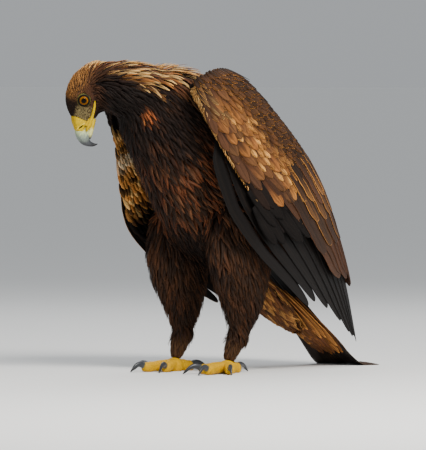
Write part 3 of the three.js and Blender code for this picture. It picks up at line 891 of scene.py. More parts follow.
def cover_body(skin):
    """Feathers all over the skin but the wings, whose feathers stand in ranks of their own."""
    place = Place(skin.points, skin.normals, skin.share)
    ahead = smooth(place.forward, -55, 30)
    spacing = blended(skin.share, SPACING) * place.on_head(1.45, 0.62, ahead)
    spacing = lerp(spacing, MANTLE_BUILD[0], place.back)
    spacing = lerp(spacing, lerp(HACKLE_BUILD[0], HACKLE_GAP_ON_HEAD, place.head), place.hackle)
    spacing = lerp(spacing, LOOSE_BUILD[0], place.loose)
    bare = (part_of(skin.share, "wing") > 0.55) | (place.eye < EYE_CLEAR)
    spacing[bare | (skin.points[:, 2] < TOES_TOP)] = 0
    roots, faces = scattered(skin, spacing)
    share = skin.at_faces(skin.share, faces)
    place = Place(roots, unit(skin.at_faces(skin.normals, faces)), share)
    count = len(roots)
    size = place.on_head(1.8, 0.5, smooth(place.forward, -55, 30))
    off_eye = smooth(place.eye, EYE_CLEAR, 24)
    length = blended(share, LENGTH) * size * place.on_head(0.5, 1, off_eye)
    half = blended(share, HALF_WIDTH) * lerp(1, 0.85 * size, 0.8 * place.head)
    half = half * place.on_head(0.6, 1, off_eye)
    for build, amount in ((MANTLE_BUILD, place.back), (HACKLE_BUILD, place.hackle * (1 - place.head)),
                          (LOOSE_BUILD, place.loose)):
        length, half = lerp(length, build[1], amount), lerp(half, build[2], amount)
    length += 7 * place.nape
    length *= rng.uniform(0.82, 1.2, count)
    half *= rng.uniform(0.85, 1.15, count)
    depth = blended(share, DEPTH) * place.on_head(1.3, 0.4, smooth(place.forward, -50, 32))
    depth = depth + 2.0 * place.breast + 7.0 * place.nape + 2.5 * place.loose
    depth = depth * rng.uniform(0.75, 1.1, count)
    turn = rng.normal(0, 0.1, count) * (1 + place.loose - 0.4 * place.head)
    base, edge, traits = body_colours(place)
    # Name, slot, which feathers, stations along them, where they are widest and how blunt the tip is.
    builds = (
        ("hackles", "nape_feathers", (place.hackle > 0.5) & (place.head < 0.5),
         (0, 0.3, 0.55, 0.75, 0.9), 0.4, 1.5),
        ("small_feathers", "nape_feathers", (place.head > 0.5) | (place.shank > 0.5),
         (0, 0.35, 0.68, 0.9), 0.45, 1.6),
        ("mantle_feathers", "body_feathers", place.back > 0.45,
         (0, 0.22, 0.45, 0.66, 0.82, 0.93), 0.62, 3.2),
        ("body_feathers", "body_feathers", np.ones(count, bool),
         (0, 0.25, 0.5, 0.74, 0.92), 0.42, 1.35),
    )
    left = np.ones(count, bool)
    for name, slot, chosen, stations, widest, sharp in builds:
        pick = np.flatnonzero(left & chosen)
        left = left & ~chosen
        t = np.array(stations)
        spine, up = laid_on(skin, roots[pick], faces[pick], length[pick], BODY_STEPS, turn[pick], t)
        shape = np.maximum(leaf(t, widest, 0.45, sharp), 0.12)
        rise = lerp(-0.6, depth[pick, None], t[None] ** 0.8)
        coat = Coat(t, broad=name == "mantle_feathers")
        coat.add(spine, up, half[pick, None] * shape[None], rise, base[pick], edge[pick], traits[pick],
                 camber=0.16, ragged=0.2)
        coat.make(name, slot)


def show_skin(skin):
    base, _, _ = body_colours(Place(skin.points, skin.normals, skin.share))
    add_mesh("skin", skin.points, [skin.quads], MATERIALS["down"], None, {"base": base},
             FLESH)


# ---- Wings: a surface over three rails, as in part.mjs, from the wrist (v = 0) to the tip (v = 1) ----

LEADING_RAIL = [
    (97, -112, 470), (108, -106, 430), (118, -70, 366), (130, -25, 301),
    (137, 34, 234), (122, 126, 161), (93, 227, 86), (62, 330, 17),
]
CROWN_RAIL = [
    (90, -28, 490), (112, 8, 455), (120, 66, 404), (115, 130, 350),
    (102, 190, 290), (84, 248, 216), (68, 296, 138), (58, 336, 27),
]
TRAILING_RAIL = [
    (56, 36, 468), (34, 68, 450), (17, 100, 413), (13, 138, 364),
    (13, 182, 308), (17, 232, 242), (30, 282, 164), (52, 338, 37),
]
MIDDLE_RAIL = 0.55
ARM_END = 0.6
WING_WIDTH, WING_LENGTH = 270.0, 640.0  # over its surface
TIP_V = 0.999  # just short of where the surface comes to a point


def mirrored(points, sign):
    return points if sign > 0 else points * FLIP


def wing_point(u, v):
    """The left wing's outer surface at u from its leading edge (0) to its back (1)."""
    u, v = np.broadcast_arrays(np.asarray(u, float), np.asarray(v, float))
    m = MIDDLE_RAIL
    a = (u - m) * (u - 1) / m
    b = u * (u - 1) / (m * (m - 1))
    c = u * (u - m) / (1 - m)
    rails = [curve_at(rail, v) for rail in (LEADING_RAIL, CROWN_RAIL, TRAILING_RAIL)]
    return rails[0] * a[..., None] + rails[1] * b[..., None] + rails[2] * c[..., None]


def wing_slopes(u, v):
    """The ways that u and v lead over the surface, as long as the millimetres for each unit."""
    step = 0.01
    low, high = np.clip(v - step, 0, 1), np.clip(v + step, 0, 1)
    across = (wing_point(u + step, v) - wing_point(u - step, v)) / (2 * step)
    return across, (wing_point(u, high) - wing_point(u, low)) / (high - low)[..., None]


def wing_scale(u, v):
    """Millimetres moved for each unit of u and of v."""
    return [np.linalg.norm(slope, axis=-1) for slope in wing_slopes(u, v)]


def wing_out(u, v):
    across, along_v = wing_slopes(u, v)
    return unit(np.cross(along_v, across))


def outer_depth(v):
    """How far the rounded top edge falls under the surface."""
    return 5 * (1 - np.sqrt(1 - (1 - np.minimum(1, (v + 0.006) / 0.07)) ** 2))


def inner_depth(u, v):
    """From the outer surface in to the wing's inner face, with the long feathers that lie on it."""
    blade = lerp(15, 5, smooth(v, 0.05, ARM_END))
    wrist = 12 * (1 - smooth(v, 0.05, 0.22)) * (1 - smooth(u, 0.2, 0.5))
    root = 30 * smooth(u, 0.46, 0.85) * (1 - smooth(v, 0.2, 0.5))
    fan = blade + wrist + 7.5 * smooth(v, 0.12, 0.18)
    return np.maximum(blade + wrist + root, fan * (1 - smooth(u, 0.42, 0.5)))


class WingChart:
    """Finds u and v on the outer surface for points near either wing."""

    def __init__(self, columns=40, lines=90):
        self.u, self.v = np.meshgrid(np.linspace(-0.12, 1.05, columns), np.linspace(0, 1, lines),
                                     indexing="ij")
        points = wing_point(self.u, self.v).reshape(-1, 3)
        i, j = np.meshgrid(np.arange(columns - 1), np.arange(lines - 1), indexing="ij")
        self.first = (i * lines + j).ravel()
        quads = self.first[:, None] + [0, lines, lines + 1, 1]
        self.tree = BVHTree.FromPolygons(points.tolist(), quads.tolist())

    def find(self, points):
        """u, v and the way out of the wing at the points."""
        flip = np.where(points[:, :1] < 0, FLIP, 1)
        hits = [self.tree.find_nearest(p) for p in (points * flip).tolist()]
        cell = self.first[np.array([h[2] for h in hits])]
        u, v = self.u.ravel()[cell], self.v.ravel()[cell]
        return u, v, wing_out(u, v) * flip


BAND_V = (0.0, 0.1, 0.2, 0.3, 0.38, 0.45, 0.5, 0.56)
BAND_U = (0.21, 0.18, 0.15, 0.15, 0.18, 0.24, 0.32, 0.42)


def band(v):
    """Where the pale band lies: small coverts behind this u, large ones in front of it."""
    return np.interp(v, BAND_V, BAND_U)


def ranks_on_wing(v_span, u_low, u_high, gap, half, length):
    """Feathers in staggered ranks as (u, v, half, length); sizes are given from first rank to last."""
    feathers = []
    v, odd = v_span[0], 0
    while v < v_span[1]:
        x = (v - v_span[0]) / (v_span[1] - v_span[0])
        space, w, reach = lerp(*gap, x), lerp(*half, x), lerp(*length, x)
        u = u_low(v) + 0.75 * odd * w / wing_scale(u_low(v), v)[0]
        while u < u_high(v):
            scale = wing_scale(u, v)
            shift_u, shift_v = rng.uniform(-0.2, 0.2, 2)
            feathers.append((u + shift_u * w / scale[0], v + shift_v * space / scale[1],
                             w * rng.uniform(0.9, 1.12), reach * rng.uniform(0.92, 1.12)))
            u += 1.5 * w / scale[0]
        odd = 1 - odd
        v += space / wing_scale(0.5 * (u_low(v) + u_high(v)), v)[1]
    return np.array(feathers)


def wing_lines(feathers, t, height, lean, inner):
    """Middle lines over the left wing, as (spine, up), and their height over it."""
    u, v, _, length = feathers.T
    scale = wing_scale(u, v)
    turn = rng.normal(lean, 0.085, len(u))
    reach = length[:, None] * t
    u = u[:, None] + np.sin(turn)[:, None] * reach / scale[0][:, None]
    v = np.clip(v[:, None] + np.cos(turn)[:, None] * reach / scale[1][:, None], 0, TIP_V)
    out = wing_out(u, v)
    spine = wing_point(u, v) - out * (inner_depth(u, v) if inner else outer_depth(v))[..., None]
    rise = lerp(*height, t)[None] * rng.uniform(0.85, 1.15, (len(u), 1))
    return spine, -out if inner else out, rise


ROUND = np.array([0, 0.2, 0.42, 0.62, 0.78, 0.89, 0.96])
POINTED = np.array([0, 0.25, 0.5, 0.75, 0.92])


def covert_colours(kind, u, v, side):
    """Base, edge and marks of a wing's coverts with their roots at u and their tips at v."""
    count = len(u)
    luck, other = rng.random((2, count))
    if kind == "lesser":
        pale = bump(u, band(v) + 0.03, 0.08) * smooth(v, 0.05, 0.2)
        rear = smooth(u, 0.46, 0.66)
        base = (1, "umber"), (luck, "brown"), (pale * luck, "warm"), (rear * 0.85, "dark")
        edge = (1, "honey"), (other, "tan"), (pale * other, "bleached"), (rear * 0.75, "copper")
        own = 0.19 + 0.08 * other, 0.5, 0.4, 0.06 * luck + 0.3 * pale
    elif kind == "median":
        base = (1, "brown"), (luck, "warm")
        edge = (1, "honey"), (smooth(other, 0.1, 0.4), "tan"), (smooth(other, 0.4, 0.8), "bleached")
        own = 0.2 + 0.08 * luck, 0.5, 0.6, 0.25 + 0.6 * other
    elif kind == "greater":
        late = smooth(v, 0.42, 0.5) * smooth(u, 0.16, 0.24)
        base = (1, "umber"), (luck, "copper"), (late * luck, "fox")
        edge = (1, "buff"), (other, "honey"), (late * luck, "bleached")
        own = 0.12 + 0.04 * luck, 0.5, 0.6, 0.15 + 0.35 * other + 0.3 * late
    elif kind == "marginal":
        base = (1, "umber"), (luck * 0.5, "brown")
        edge = (1, "honey"), (other, "cream")
        own = 0.3, 0.3, 0.4, 0.2
    elif kind == "scapular":
        base = (1, "black"), (luck * 0.4, "dark")
        edge = (1, "dark"), (luck, "umber")
        own = 0.15, 0.4, 0.4, 0.1
    elif kind == "hand":
        black = smooth(v, 0.47, 0.52)
        base = (1, "brown"), (luck * 0.8, "copper"), (black, "black")
        edge = (1, "honey"), (other, "tan"), (black, "umber")
        own = 0.1 - 0.05 * black, 0.4, 0.4, 0.06 * luck * (1 - black)
    else:
        over = np.stack([u * WING_WIDTH, v * WING_LENGTH, np.full(count, 9.0 * side)], 1)
        spots = value_noise(over, 9.0, 8)
        # Black towards the tip is the hand's own dark feathers; black near the wrist and towards the
        # body is the lining's own dark brown deepened by painted shade.
        black = smooth(v, 0.49, 0.57) + smooth(u, 0.3, 0.42) + 1 - smooth(v, 0.235, 0.265)
        black = np.clip(black, 0, 1)
        base = ((1, "honey"), (other * 0.6, "bleached"), (spots > 0.6, "umber"), (spots < 0.3, "cream"),
                (bump(v, 0.312, 0.022), "umber"), (bump(v, 0.352, 0.018), "white"), (black, "black"))
        edge = (1, "bleached"), (luck, "tan"), (black, "umber")
        own = 0.22 + 0.1 * luck, 0.5, 0.9, 0.2 * (1 - black)
    return tinted(count, *base), tinted(count, *edge), marks(count, *own)


# Tracts of coverts: their span of v, u at each v, gap between ranks, half-width and length from the
# first rank to the last, height over the wing at foot and tip, stations along a feather, where it is
# widest, how blunt its tip is and its lean.
TRACTS = (
    ("hand", (0.13, 0.53), lambda v: lerp(0.03, -0.02, smooth(v, 0.41, 0.46)),
     lambda v: lerp(0.06, 0.16, smooth(v, 0.3, 0.6)),
     (18, 36), (7.5, 11), (44, 84), (-1.4, 1.0), ROUND, 0.62, 3.0, 0.02),
    ("greater", (0.05, 0.41), lambda v: lerp(0.04, 0.1, smooth(v, 0.25, 0.4)), lambda v: band(v) + 0.05,
     (17, 27), (9.0, 14), (42, 72), (-1.2, 1.2), ROUND, 0.62, 2.6, 0.05),
    ("median", (0.1, 0.49), lambda v: band(v) - 0.04, lambda v: band(v) + 0.075,
     (13, 21), (7.2, 10.5), (34, 58), (-1.2, 1.6), POINTED, 0.5, 1.7, 0.06),
    ("lesser", (0.004, 0.52), lambda v: lerp(0.02, band(v) + 0.05, smooth(v, 0.0, 0.09)),
     lambda v: 1.04, (8.0, 13.0), (5.0, 8.0), (20, 36), (-1.1, 1.6), POINTED, 0.55, 2.2, 0.03),
    ("marginal", (0.01, 0.15), lambda v: 0.012, lambda v: lerp(0.06, 0.1, smooth(v, 0, 0.1)),
     (9, 12), (3.6, 5.0), (24, 34), (-1.2, 1.5), POINTED, 0.5, 2.0, 0.3),
    ("scapular", (0.0, 0.13), lambda v: 0.8, lambda v: 1.05,
     (11, 13), (6, 7), (38, 52), (-1.0, 6.0), POINTED, 0.5, 1.7, -0.12),
    ("under", (0.02, 0.58), lambda v: lerp(0.035, -0.085, smooth(v, 0.12, 0.2)), lambda v: 0.62,
     (7, 15), (4.2, 8), (17, 38), (-1.6, 1.6), POINTED, 0.55, 2.2, 0.0),
)
LEFT_UNDER_U = 0.03  # the left wing's lining stops here, or it would show past the leading edge


def cover_wings():
    for kind, v_span, u_low, u_high, gap, half, length, height, t, widest, sharp, lean in TRACTS:
        coat = Coat(t, broad=t is ROUND)
        shape = np.maximum(leaf(t, widest, 0.55, sharp), 0.1)
        inner = kind == "under"
        for _, sign in SIDES:
            feathers = ranks_on_wing(v_span, u_low, u_high, gap, half, length)
            if inner and sign > 0:
                feathers = feathers[feathers[:, 0] > LEFT_UNDER_U]
            spine, up, rise = wing_lines(feathers, t, height, lean, inner)
            tips = feathers[:, 1] + feathers[:, 3] / WING_LENGTH
            coat.add(mirrored(spine, sign), mirrored(up, sign), feathers[:, [2]] * shape, rise,
                     *covert_colours(kind, feathers[:, 0], tips, sign),
                     camber=0.12 if t is ROUND else 0.22, thick=0.4, ragged=0.06)
        coat.make(f"{kind}_coverts", "covert_feathers")


def cover_wing_edges(skin):
    """Small feathers over the leading edge, the wrist and wherever no rank lies."""
    chart = WingChart()
    near = np.flatnonzero(part_of(skin.share, "wing") > 0.5)
    u, v, out = chart.find(skin.points[near])
    facing = np.sum(skin.normals[near] * out, axis=1)
    bare = (facing < 0.7) & ((facing > -0.35) | (u > 0.6)) | (v < 0.02)
    spacing = np.zeros(len(skin.points))
    spacing[near] = np.where(bare, np.where(u < 0.03, 3.0, 4.6), 0)
    roots, faces = scattered(skin, spacing)
    u, v, _ = chart.find(roots)
    count = len(roots)
    leading = (u < 0.05).astype(float)
    luck = rng.random(count)
    length = lerp(17, 9.5, leading) * rng.uniform(0.85, 1.15, count)
    half = lerp(4.2, 2.4, leading)[:, None] * np.maximum(leaf(POINTED, 0.5, 0.5, 2.0), 0.1)
    spine, up = laid_on(skin, roots, faces, length, EDGE_STEPS, rng.normal(0, 0.1, count), POINTED)
    # Black along the hand's leading edge is the feathers' own; black on the wing's inner side by the
    # leading edge is the dark underside deepened by painted shade; black near the far (right) wing's
    # wrist is painted shade beside the breast.
    black = leading * smooth(v, 0.42, 0.5) + (1 - leading) * smooth(u, 0.2, 0.0)
    black = np.maximum(black, (roots[:, 0] < 0) * (1 - smooth(v, 0.235, 0.255)))
    base = tinted(count, (1, "umber"), (luck * 0.5, "brown"), (leading * luck, "warm"),
                  (black, "black"))
    edge = tinted(count, (1, "buff"), (leading, "bleached"), (leading * luck, "cream"),
                  (black, "umber"))
    traits = marks(count, 0.36 + 0.16 * leading, 0.4, 0.3, 0.5 * leading)
    rise = lerp(-0.5, 1.6, POINTED)[None] + 1.0 * leading[:, None]
    coat = Coat(POINTED)
    coat.add(spine, up, half, rise, base, edge, traits)
    coat.make("edge_coverts", "covert_feathers")


# ---- Long feathers of the wings and the tail ----


class Quills:
    """Long stiff feathers, each a closed thin plate with its own strip of the OFBake map."""

    def __init__(self):
        self.parts = []

    def add(self, top, under, flip, base, edge, traits):
        """top and under are grids of points, along by across; colours are per point or one."""
        steps, across = top.shape[:2]
        size = 2 * across

        def round_plate(upper, lower):
            return np.concatenate([upper, lower[:, ::-1]], axis=1).reshape(steps * size, -1)

        layers = [np.broadcast_to(np.asarray(layer, float), (steps, across, 4))
                  for layer in (base, edge, traits)]
        s, t = np.meshgrid(np.linspace(0, 1, across), np.linspace(0, 1, steps))
        uv = np.stack([s, t], axis=2)
        m = np.arange(across - 1)
        foot = np.stack([m, size - 1 - m, size - 2 - m, m + 1], -1)
        faces = rows(ring_quads(steps, size), foot, (foot + (steps - 1) * size)[:, ::-1])
        self.parts.append((round_plate(top, under), faces[:, ::-1] if flip else faces,
                           round_plate(uv, uv * 0.97 + 0.015),
                           *[round_plate(layer, layer) for layer in layers]))

    def make(self, name, slot, replaces=()):
        points, faces, vane, *layers = zip(*self.parts)
        each, strip = len(points[0]), 1 / len(points)
        faces = [own + n * each for n, own in enumerate(faces)]
        bake = [(uv * [0.88, 0.96] + [0.06, 0.02]) * [strip, 1] + [n * strip, 0]
                for n, uv in enumerate(vane)]
        colours = {layer: rows(*values) for layer, values in zip(("base", "edge", "traits"), layers)}
        add_mesh(name, rows(*points), [rows(*faces)], MATERIALS["quill"],
                 {"OFBake": rows(*bake), "vane": rows(*vane)}, colours, replaces)


QUILL_COLUMNS = 9
QUILL_ACROSS = np.linspace(-1, 1, QUILL_COLUMNS)
QUILL_THICK = 0.55


def quill_stations(count):
    """Places along a long feather, closer together towards its round tip."""
    return 1 - (1 - np.linspace(0, 1, count)) ** 1.7


def quill_width(t, tip, root=0.55):
    """Half-width along a long feather, with a round tip over its last part."""
    end = np.clip((t - (1 - tip)) / tip, 0, 1)
    return lerp(root, 1, smooth(t, 0, 0.45)) * np.sqrt(np.maximum(1 - end**2, 0.0004))


def at_steps(values, t):
    """Values given at even steps, read off at t."""
    return np.interp(t, np.linspace(0, 1, len(values)), values)


def wing_quill(quills, sign, u, v_span, half, height, tilt, colours, tip=0.1, lead=0.42):
    """A long feather on the wing. u and height are given at even steps along it, and `lead` is the
    share of its width that lies in front of the shaft."""
    t = quill_stations(34)
    across = QUILL_ACROSS
    u, v = at_steps(u, t), lerp(*v_span, t)
    width = quill_width(t, tip)[:, None]
    ripple = 1 + 0.05 * np.sin(t[:, None] * rng.uniform(20, 34) + rng.uniform(0, 6)) * np.abs(across)
    offset = np.where(across < 0, lead, 1 - lead) * 2 * half * across * width * ripple
    u = u[:, None] + offset / wing_scale(u, v)[0][:, None]
    v = np.broadcast_to(v[:, None], u.shape)
    out = wing_out(u, v)
    ridge = 0.5 * (1 - np.abs(across)) ** 6 * (1 - 0.6 * t[:, None])
    lift = at_steps(height, t)[:, None] - tilt * across * width + ridge
    top = wing_point(u, v) + out * lift[..., None]
    under = top - out * (QUILL_THICK * (1 - 0.55 * np.abs(across)) + 2 * ridge)[..., None]
    quills.add(mirrored(top, sign), mirrored(under, sign), sign > 0, *colours)


def quill_colours(tone, rim, rim_width, streak=0.35, wash=0.0):
    """One feather's layers."""
    return [*tone, rng.random()], [*rim, rim_width], [rim_width, 0.8, streak, wash]


def jittered(tone):
    return tone * rng.uniform(0.86, 1.14)


PRIMARY_COUNT, SECONDARY_COUNT = 9, 13
# u at even steps along the first feather and the last.
PRIMARY_PATHS = np.array([(0.12, -0.04, -0.09, -0.11, -0.1), (0.4, 0.4, 0.38, 0.36, 0.34)])
SECONDARY_PATHS = np.array([(0.05, 0.12, 0.21), (1.0, 0.985, 0.98)])
# Rows of tertials: where they begin and end along the wing, their number, width and first u.
TERTIAL_ROWS = ((0.36, 0.71, 9, 15, 0.16), (0.34, 0.635, 9, 13.5, 0.2), (0.34, 0.575, 10, 12, 0.28))


def make_primaries(side, sign):
    quills = Quills()
    for k in range(PRIMARY_COUNT):
        x = k / (PRIMARY_COUNT - 1)
        path = lerp(*PRIMARY_PATHS, x)
        end = lerp(0.8, 0.965, smooth(x, 0, 0.75)) + 0.012 * math.sin(5 * k)
        height = [-22 - 1.2 * k, -13.0, -10.5, -9.0, -8.4]
        base, edge, traits = quill_colours(jittered(TONES["black"]), TONES["umber"], 0.06)
        if k == 0 and side == "right":
            # The outermost has a pale leading edge.
            edge = np.tile(edge, (QUILL_COLUMNS, 1))
            edge[:2, :3] = TONES["bleached"]
            traits[0] = 0.14
        wing_quill(quills, sign, path, (0.17, end), lerp(13, 16, x), height, 0.9, (base, edge, traits),
                   tip=0.16, lead=0.3)
    quills.make(f"primaries_{side}", "flight_feathers", [f"wing_primaries_{side}"])


def make_secondaries(side, sign):
    quills = Quills()
    for k in range(SECONDARY_COUNT):
        x = (k + 0.5) / SECONDARY_COUNT
        end = lerp(0.79, 0.875, smooth(x, 0, 0.7)) + 0.01 * math.sin(4 * k)
        tone = jittered(lerp(TONES["brown"], TONES["copper"], rng.random()) * lerp(0.9, 0.6, x))
        path = lerp(*SECONDARY_PATHS, x)
        wing_quill(quills, sign, path, (0.3, end), 17.5, [-4.5, -0.5, -1.2, -1.8], 1.0,
                   quill_colours(tone, TONES["fox"], 0.12, streak=0.5))
    quills.make(f"secondaries_{side}", "flight_feathers", [f"wing_secondaries_{side}"])


def make_tertials(side, sign):
    quills = Quills()
    for row, (v_from, v_to, count, width, first_u) in enumerate(TERTIAL_ROWS):
        for k in range(count):
            x = (k + 0.3 + 0.35 * (row % 2)) / count
            u = lerp(first_u, 1.0, x)
            end = v_to + 0.05 * (x - 0.4) * (1 - row * 0.4) + rng.uniform(-0.012, 0.012)
            back = smooth(u, 0.5, 0.68)
            tone = jittered(lerp(TONES["brown"], TONES["umber"], max(back, rng.random())))
            rim = TONES["tan"] if rng.random() < 0.5 + 0.2 * row else TONES["fox"]
            rim = lerp(rim, TONES["copper"], 0.85 * back)
            wash = (0.04 + 0.1 * row) * (1 - 0.6 * back)
            wing_quill(quills, sign, [u, u - 0.01], (v_from, end), width,
                       [-3.4, 0.4 + 0.5 * row, 0.3 + 0.6 * row], 0.8,
                       quill_colours(tone, rim, 0.14 + 0.03 * row, wash=wash), tip=0.14)
    quills.make(f"tertials_{side}", "covert_feathers")


TAIL_LINE = [(0, 140, 188), (0, 200, 136), (0, 262, 80), (0, 312, 37), (0, 348, 10), (0, 370, 3),
             (0, 394, 2.6)]
TAIL_COUNT = 12
FLOOR_GAP = 3.6  # the least height of a tail feather's middle


def tail_frame(along_tail):
    """Point and up at places along the tail's middle."""
    step = 0.004
    way = unit(curve_at(TAIL_LINE, np.minimum(1, along_tail + step))
               - curve_at(TAIL_LINE, np.maximum(0, along_tail - step)))
    return curve_at(TAIL_LINE, along_tail), np.cross(LEFT, way)


def make_tail():
    quills = Quills()
    t = quill_stations(46)
    across = QUILL_ACROSS
    for k in range(TAIL_COUNT):
        offset = 2 * k / (TAIL_COUNT - 1) - 1
        a = lerp(0.02, 0.995 - 0.055 * offset * offset, t)
        point, up = tail_frame(a)
        width = lerp(17, 20, smooth(a, 0.3, 1)) * quill_width(t, 0.1, 0.8)
        x = (offset * lerp(12, 38, smooth(a, 0, 0.9)))[:, None] + width[:, None] * across
        droop = 10 * (x / 55) ** 2 * (1 - smooth(a, 0.55, 0.9))[:, None]
        rise = lerp(-1, -0.2, t)[:, None] - 2.6 * abs(offset) - droop
        ridge = 0.5 * (1 - np.abs(across)) ** 6
        point[:, 2] = np.maximum(point[:, 2], FLOOR_GAP)
        top = point[:, None] + x[..., None] * LEFT + up[:, None] * (rise + ridge)[..., None]
        under = top - up[:, None] * (0.5 * (1 - 0.5 * np.abs(across)) + 2 * ridge)[None, :, None]
        top[..., 2], under[..., 2] = np.maximum(top[..., 2], 0.5), np.maximum(under[..., 2], 0.05)
        tone = jittered(lerp(TONES["umber"], TONES["dark"], rng.random()))
        marbled = smooth(np.sin(t * 40 + k) + 0.6 * np.sin(t * 23), 0.2, 1.2)
        grey = marbled * 0.35 * (1 - smooth(t, 0.6, 0.75))
        base = np.ones((len(t), QUILL_COLUMNS, 4)) * rng.random()
        base[..., :3] = lerp(tone, TONES["grey"] * 0.5, grey[:, None, None])
        quills.add(top, under, False, base, [*TONES["buff"], 0.1], [0.1, 0.8, 0.35, 0])
    quills.make("tail_feathers", "flight_feathers", ["tail"])


# Rows of coverts under the tail: their span along it, gap below it at foot and tip, spread and number.
UNDERTAIL_ROWS = (((0.2, 0.57), (18, 6.5), 34, 9), ((0.15, 0.5), (25, 10), 30, 8),
                  ((0.1, 0.43), (32, 15), 26, 7), ((0.06, 0.36), (36, 22), 21, 6))


def make_undertail():
    """Long soft coverts that carry the undertail on along the tail's under side."""
    coat = Coat(ROUND, broad=True)
    half = 11.0 * np.maximum(leaf(ROUND, 0.55, 0.6, 2.2), 0.1)
    for span, gap, spread_out, number in UNDERTAIL_ROWS:
        for k in range(number):
            offset = (k + 0.5) / number * 2 - 1 + rng.uniform(-0.05, 0.05)
            point, up = tail_frame(lerp(*span, ROUND) + rng.uniform(-0.012, 0.012))
            x = offset * spread_out * lerp(0.75, 1.15, ROUND)
            under = lerp(*gap, ROUND) + 9 * (x / 55) ** 2 - 6 * offset**2
            spine = point + x[:, None] * LEFT - up * under[:, None]
            luck, other = rng.random(2)
            base = tinted(1, (1, "copper"), (luck, "fox"), (other > 0.65, "umber"))
            edge = tinted(1, (1, "fox"), (other, "honey"), (luck > 0.8, "tan"))
            coat.add(spine[None], -up[None], half[None], lerp(-1.0, 1.0, ROUND)[None], base, edge,
                     marks(1, 0.3, 0.6, 0.8, 0.35), camber=0.12, ragged=0.07)
    coat.make("undertail_long", "undertail_feathers")


# ---- Closed shapes ----


def lofted(rings, tone, ends):
    """A closed shape over rings with tones at its points, as (points, faces, tones)."""
    points, faces = ring_loft(rings)
    return points, faces, rows(tone.reshape(-1, 3), [TONES[end] for end in ends])


def solid(name, parts, kind, replaces=()):
    """One piece from several (points, faces, tones), of horn or of bare skin."""
    points, quads, tris, tones, start = [], [], [], [], 0
    for own, faces, tone in parts:
        points.append(own)
        tones.append(tone)
        for f in faces:
            (quads if f.shape[1] == 4 else tris).append(f + start)
        start += len(own)
    faces = [rows(*shape) for shape in (quads, tris) if shape]
    add_mesh(name, rows(*points), faces, MATERIALS[kind], None, {"tone": rows(*tones)}, replaces)


def ribbed(ribs, sideways, stations, around, power, cap, round_foot=0.06):
    """A form over ribs [x, y, z, half-width, half-depth]: rings of points, and the angle round.
    cap and round_foot are the shares of its length that round off its end and its foot."""
    ribs = curve_at(ribs, stations)
    line = ribs[:, :3]
    way = unit(np.gradient(line, axis=0))
    wide = unit(sideways - way * (way @ sideways)[:, None])
    deep = np.cross(way, wide)
    end = np.sqrt(np.clip(1 - np.clip((stations - 1 + cap) / cap, 0, 1) ** 2, 0, 1))
    foot = np.sqrt(np.clip(1 - np.clip((round_foot - stations) / round_foot, 0, 1) ** 2, 0, 1))
    half = (ribs[:, 3:] * np.maximum(end * foot, 0.02)[:, None])[:, None, None]
    angle = once_round(around)
    c, s = [squared(wave(angle), power)[None, :, None] for wave in (np.cos, np.sin)]
    return line[:, None] + wide[:, None] * c * half[..., 0] + deep[:, None] * s * half[..., 1], angle


# ---- Bill and face, in the head's frame ----

CERE_BACK, CERE_FRONT = 30.0, 51.5
# Forward, height of the top and of the underside, half-width.
CERE_RIBS = [(CERE_BACK, 15, -14, 13.4), (37, 13, -16, 13), (45, 9, -17, 11.2),
             (CERE_FRONT, 5.2, -17, 9.8)]
# From here on the ribs are place, half-width and half-depth.
UPPER_BILL_RIBS = [
    (0, -33, -3.4, 9.8, 10.6), (0, -45, -5.6, 9.7, 12.0), (0, -51, -6.6, 9.7, 11.8),
    (0, -58, -9.2, 8.4, 10.4), (0, -64, -13.8, 6.4, 7.9), (0, -67.2, -20, 4.3, 4.9),
    (0, -67.8, -27, 2.5, 2.8), (0, -65.6, -33.6, 0.5, 0.5),
]
LOWER_BILL_RIBS = [
    (0, -26, -20.4, 10, 4.6), (0, -37, -19.6, 9, 4.6), (0, -49, -18.8, 7.2, 4.4),
    (0, -61, -18.6, 4, 2.8),
]
NOSTRIL = (43.2, -2.6)  # forward and up
NOSTRIL_HALF = (4.3, 1.25)


def make_bill():
    stations = 1 - (1 - np.linspace(0, 1, 90)) ** 1.15
    rings, angle = ribbed(UPPER_BILL_RIBS, LEFT, stations, 56, 0.82, 0.02, 0.02)
    rise = np.sin(angle)[None]
    # The ridge is narrow, and the cutting edge swells a little before the hook.
    rings[..., 0] *= 1 - 0.3 * smooth(rise, 0.35, 1.0) - 0.12 * smooth(-rise, 0.2, 1.0)
    rings[..., 2] -= 1.3 * bump(stations, 0.42, 0.09)[:, None] * smooth(-rise, 0.5, 1.0)
    s = stations[:, None] + 0.05 * rise
    grain = value_noise(rings * [1, 0.35, 1], 1.6, 21) - 0.5
    tone = tinted(
        s.shape, (1, "horn"), (1 - smooth(s, 0.12, 0.32), "base"),
        (smooth(s + 0.16 * grain, 0.26, 0.46), "steel"),
        (smooth(s + 0.12 * grain, 0.42, 0.66), "slate"), (smooth(s, 0.66, 0.9), "jet"))
    solid("bill_upper", [lofted(from_head(rings), tone, ("base", "jet"))], "horn", ["upper_bill"])

    stations = np.linspace(0, 1, 48)
    rings, angle = ribbed(LOWER_BILL_RIBS, LEFT, stations, 40, 0.8, 0.12)
    s = stations[:, None]
    tone = tinted(rings.shape[:2], (1, "base"), (smooth(s, 0.72, 0.95), "slate"),
                  (1 - smooth(s, 0.42, 0.56), "yellow"))
    solid("bill_lower", [lofted(from_head(rings), tone, ("base", "slate"))], "horn", ["lower_bill"])


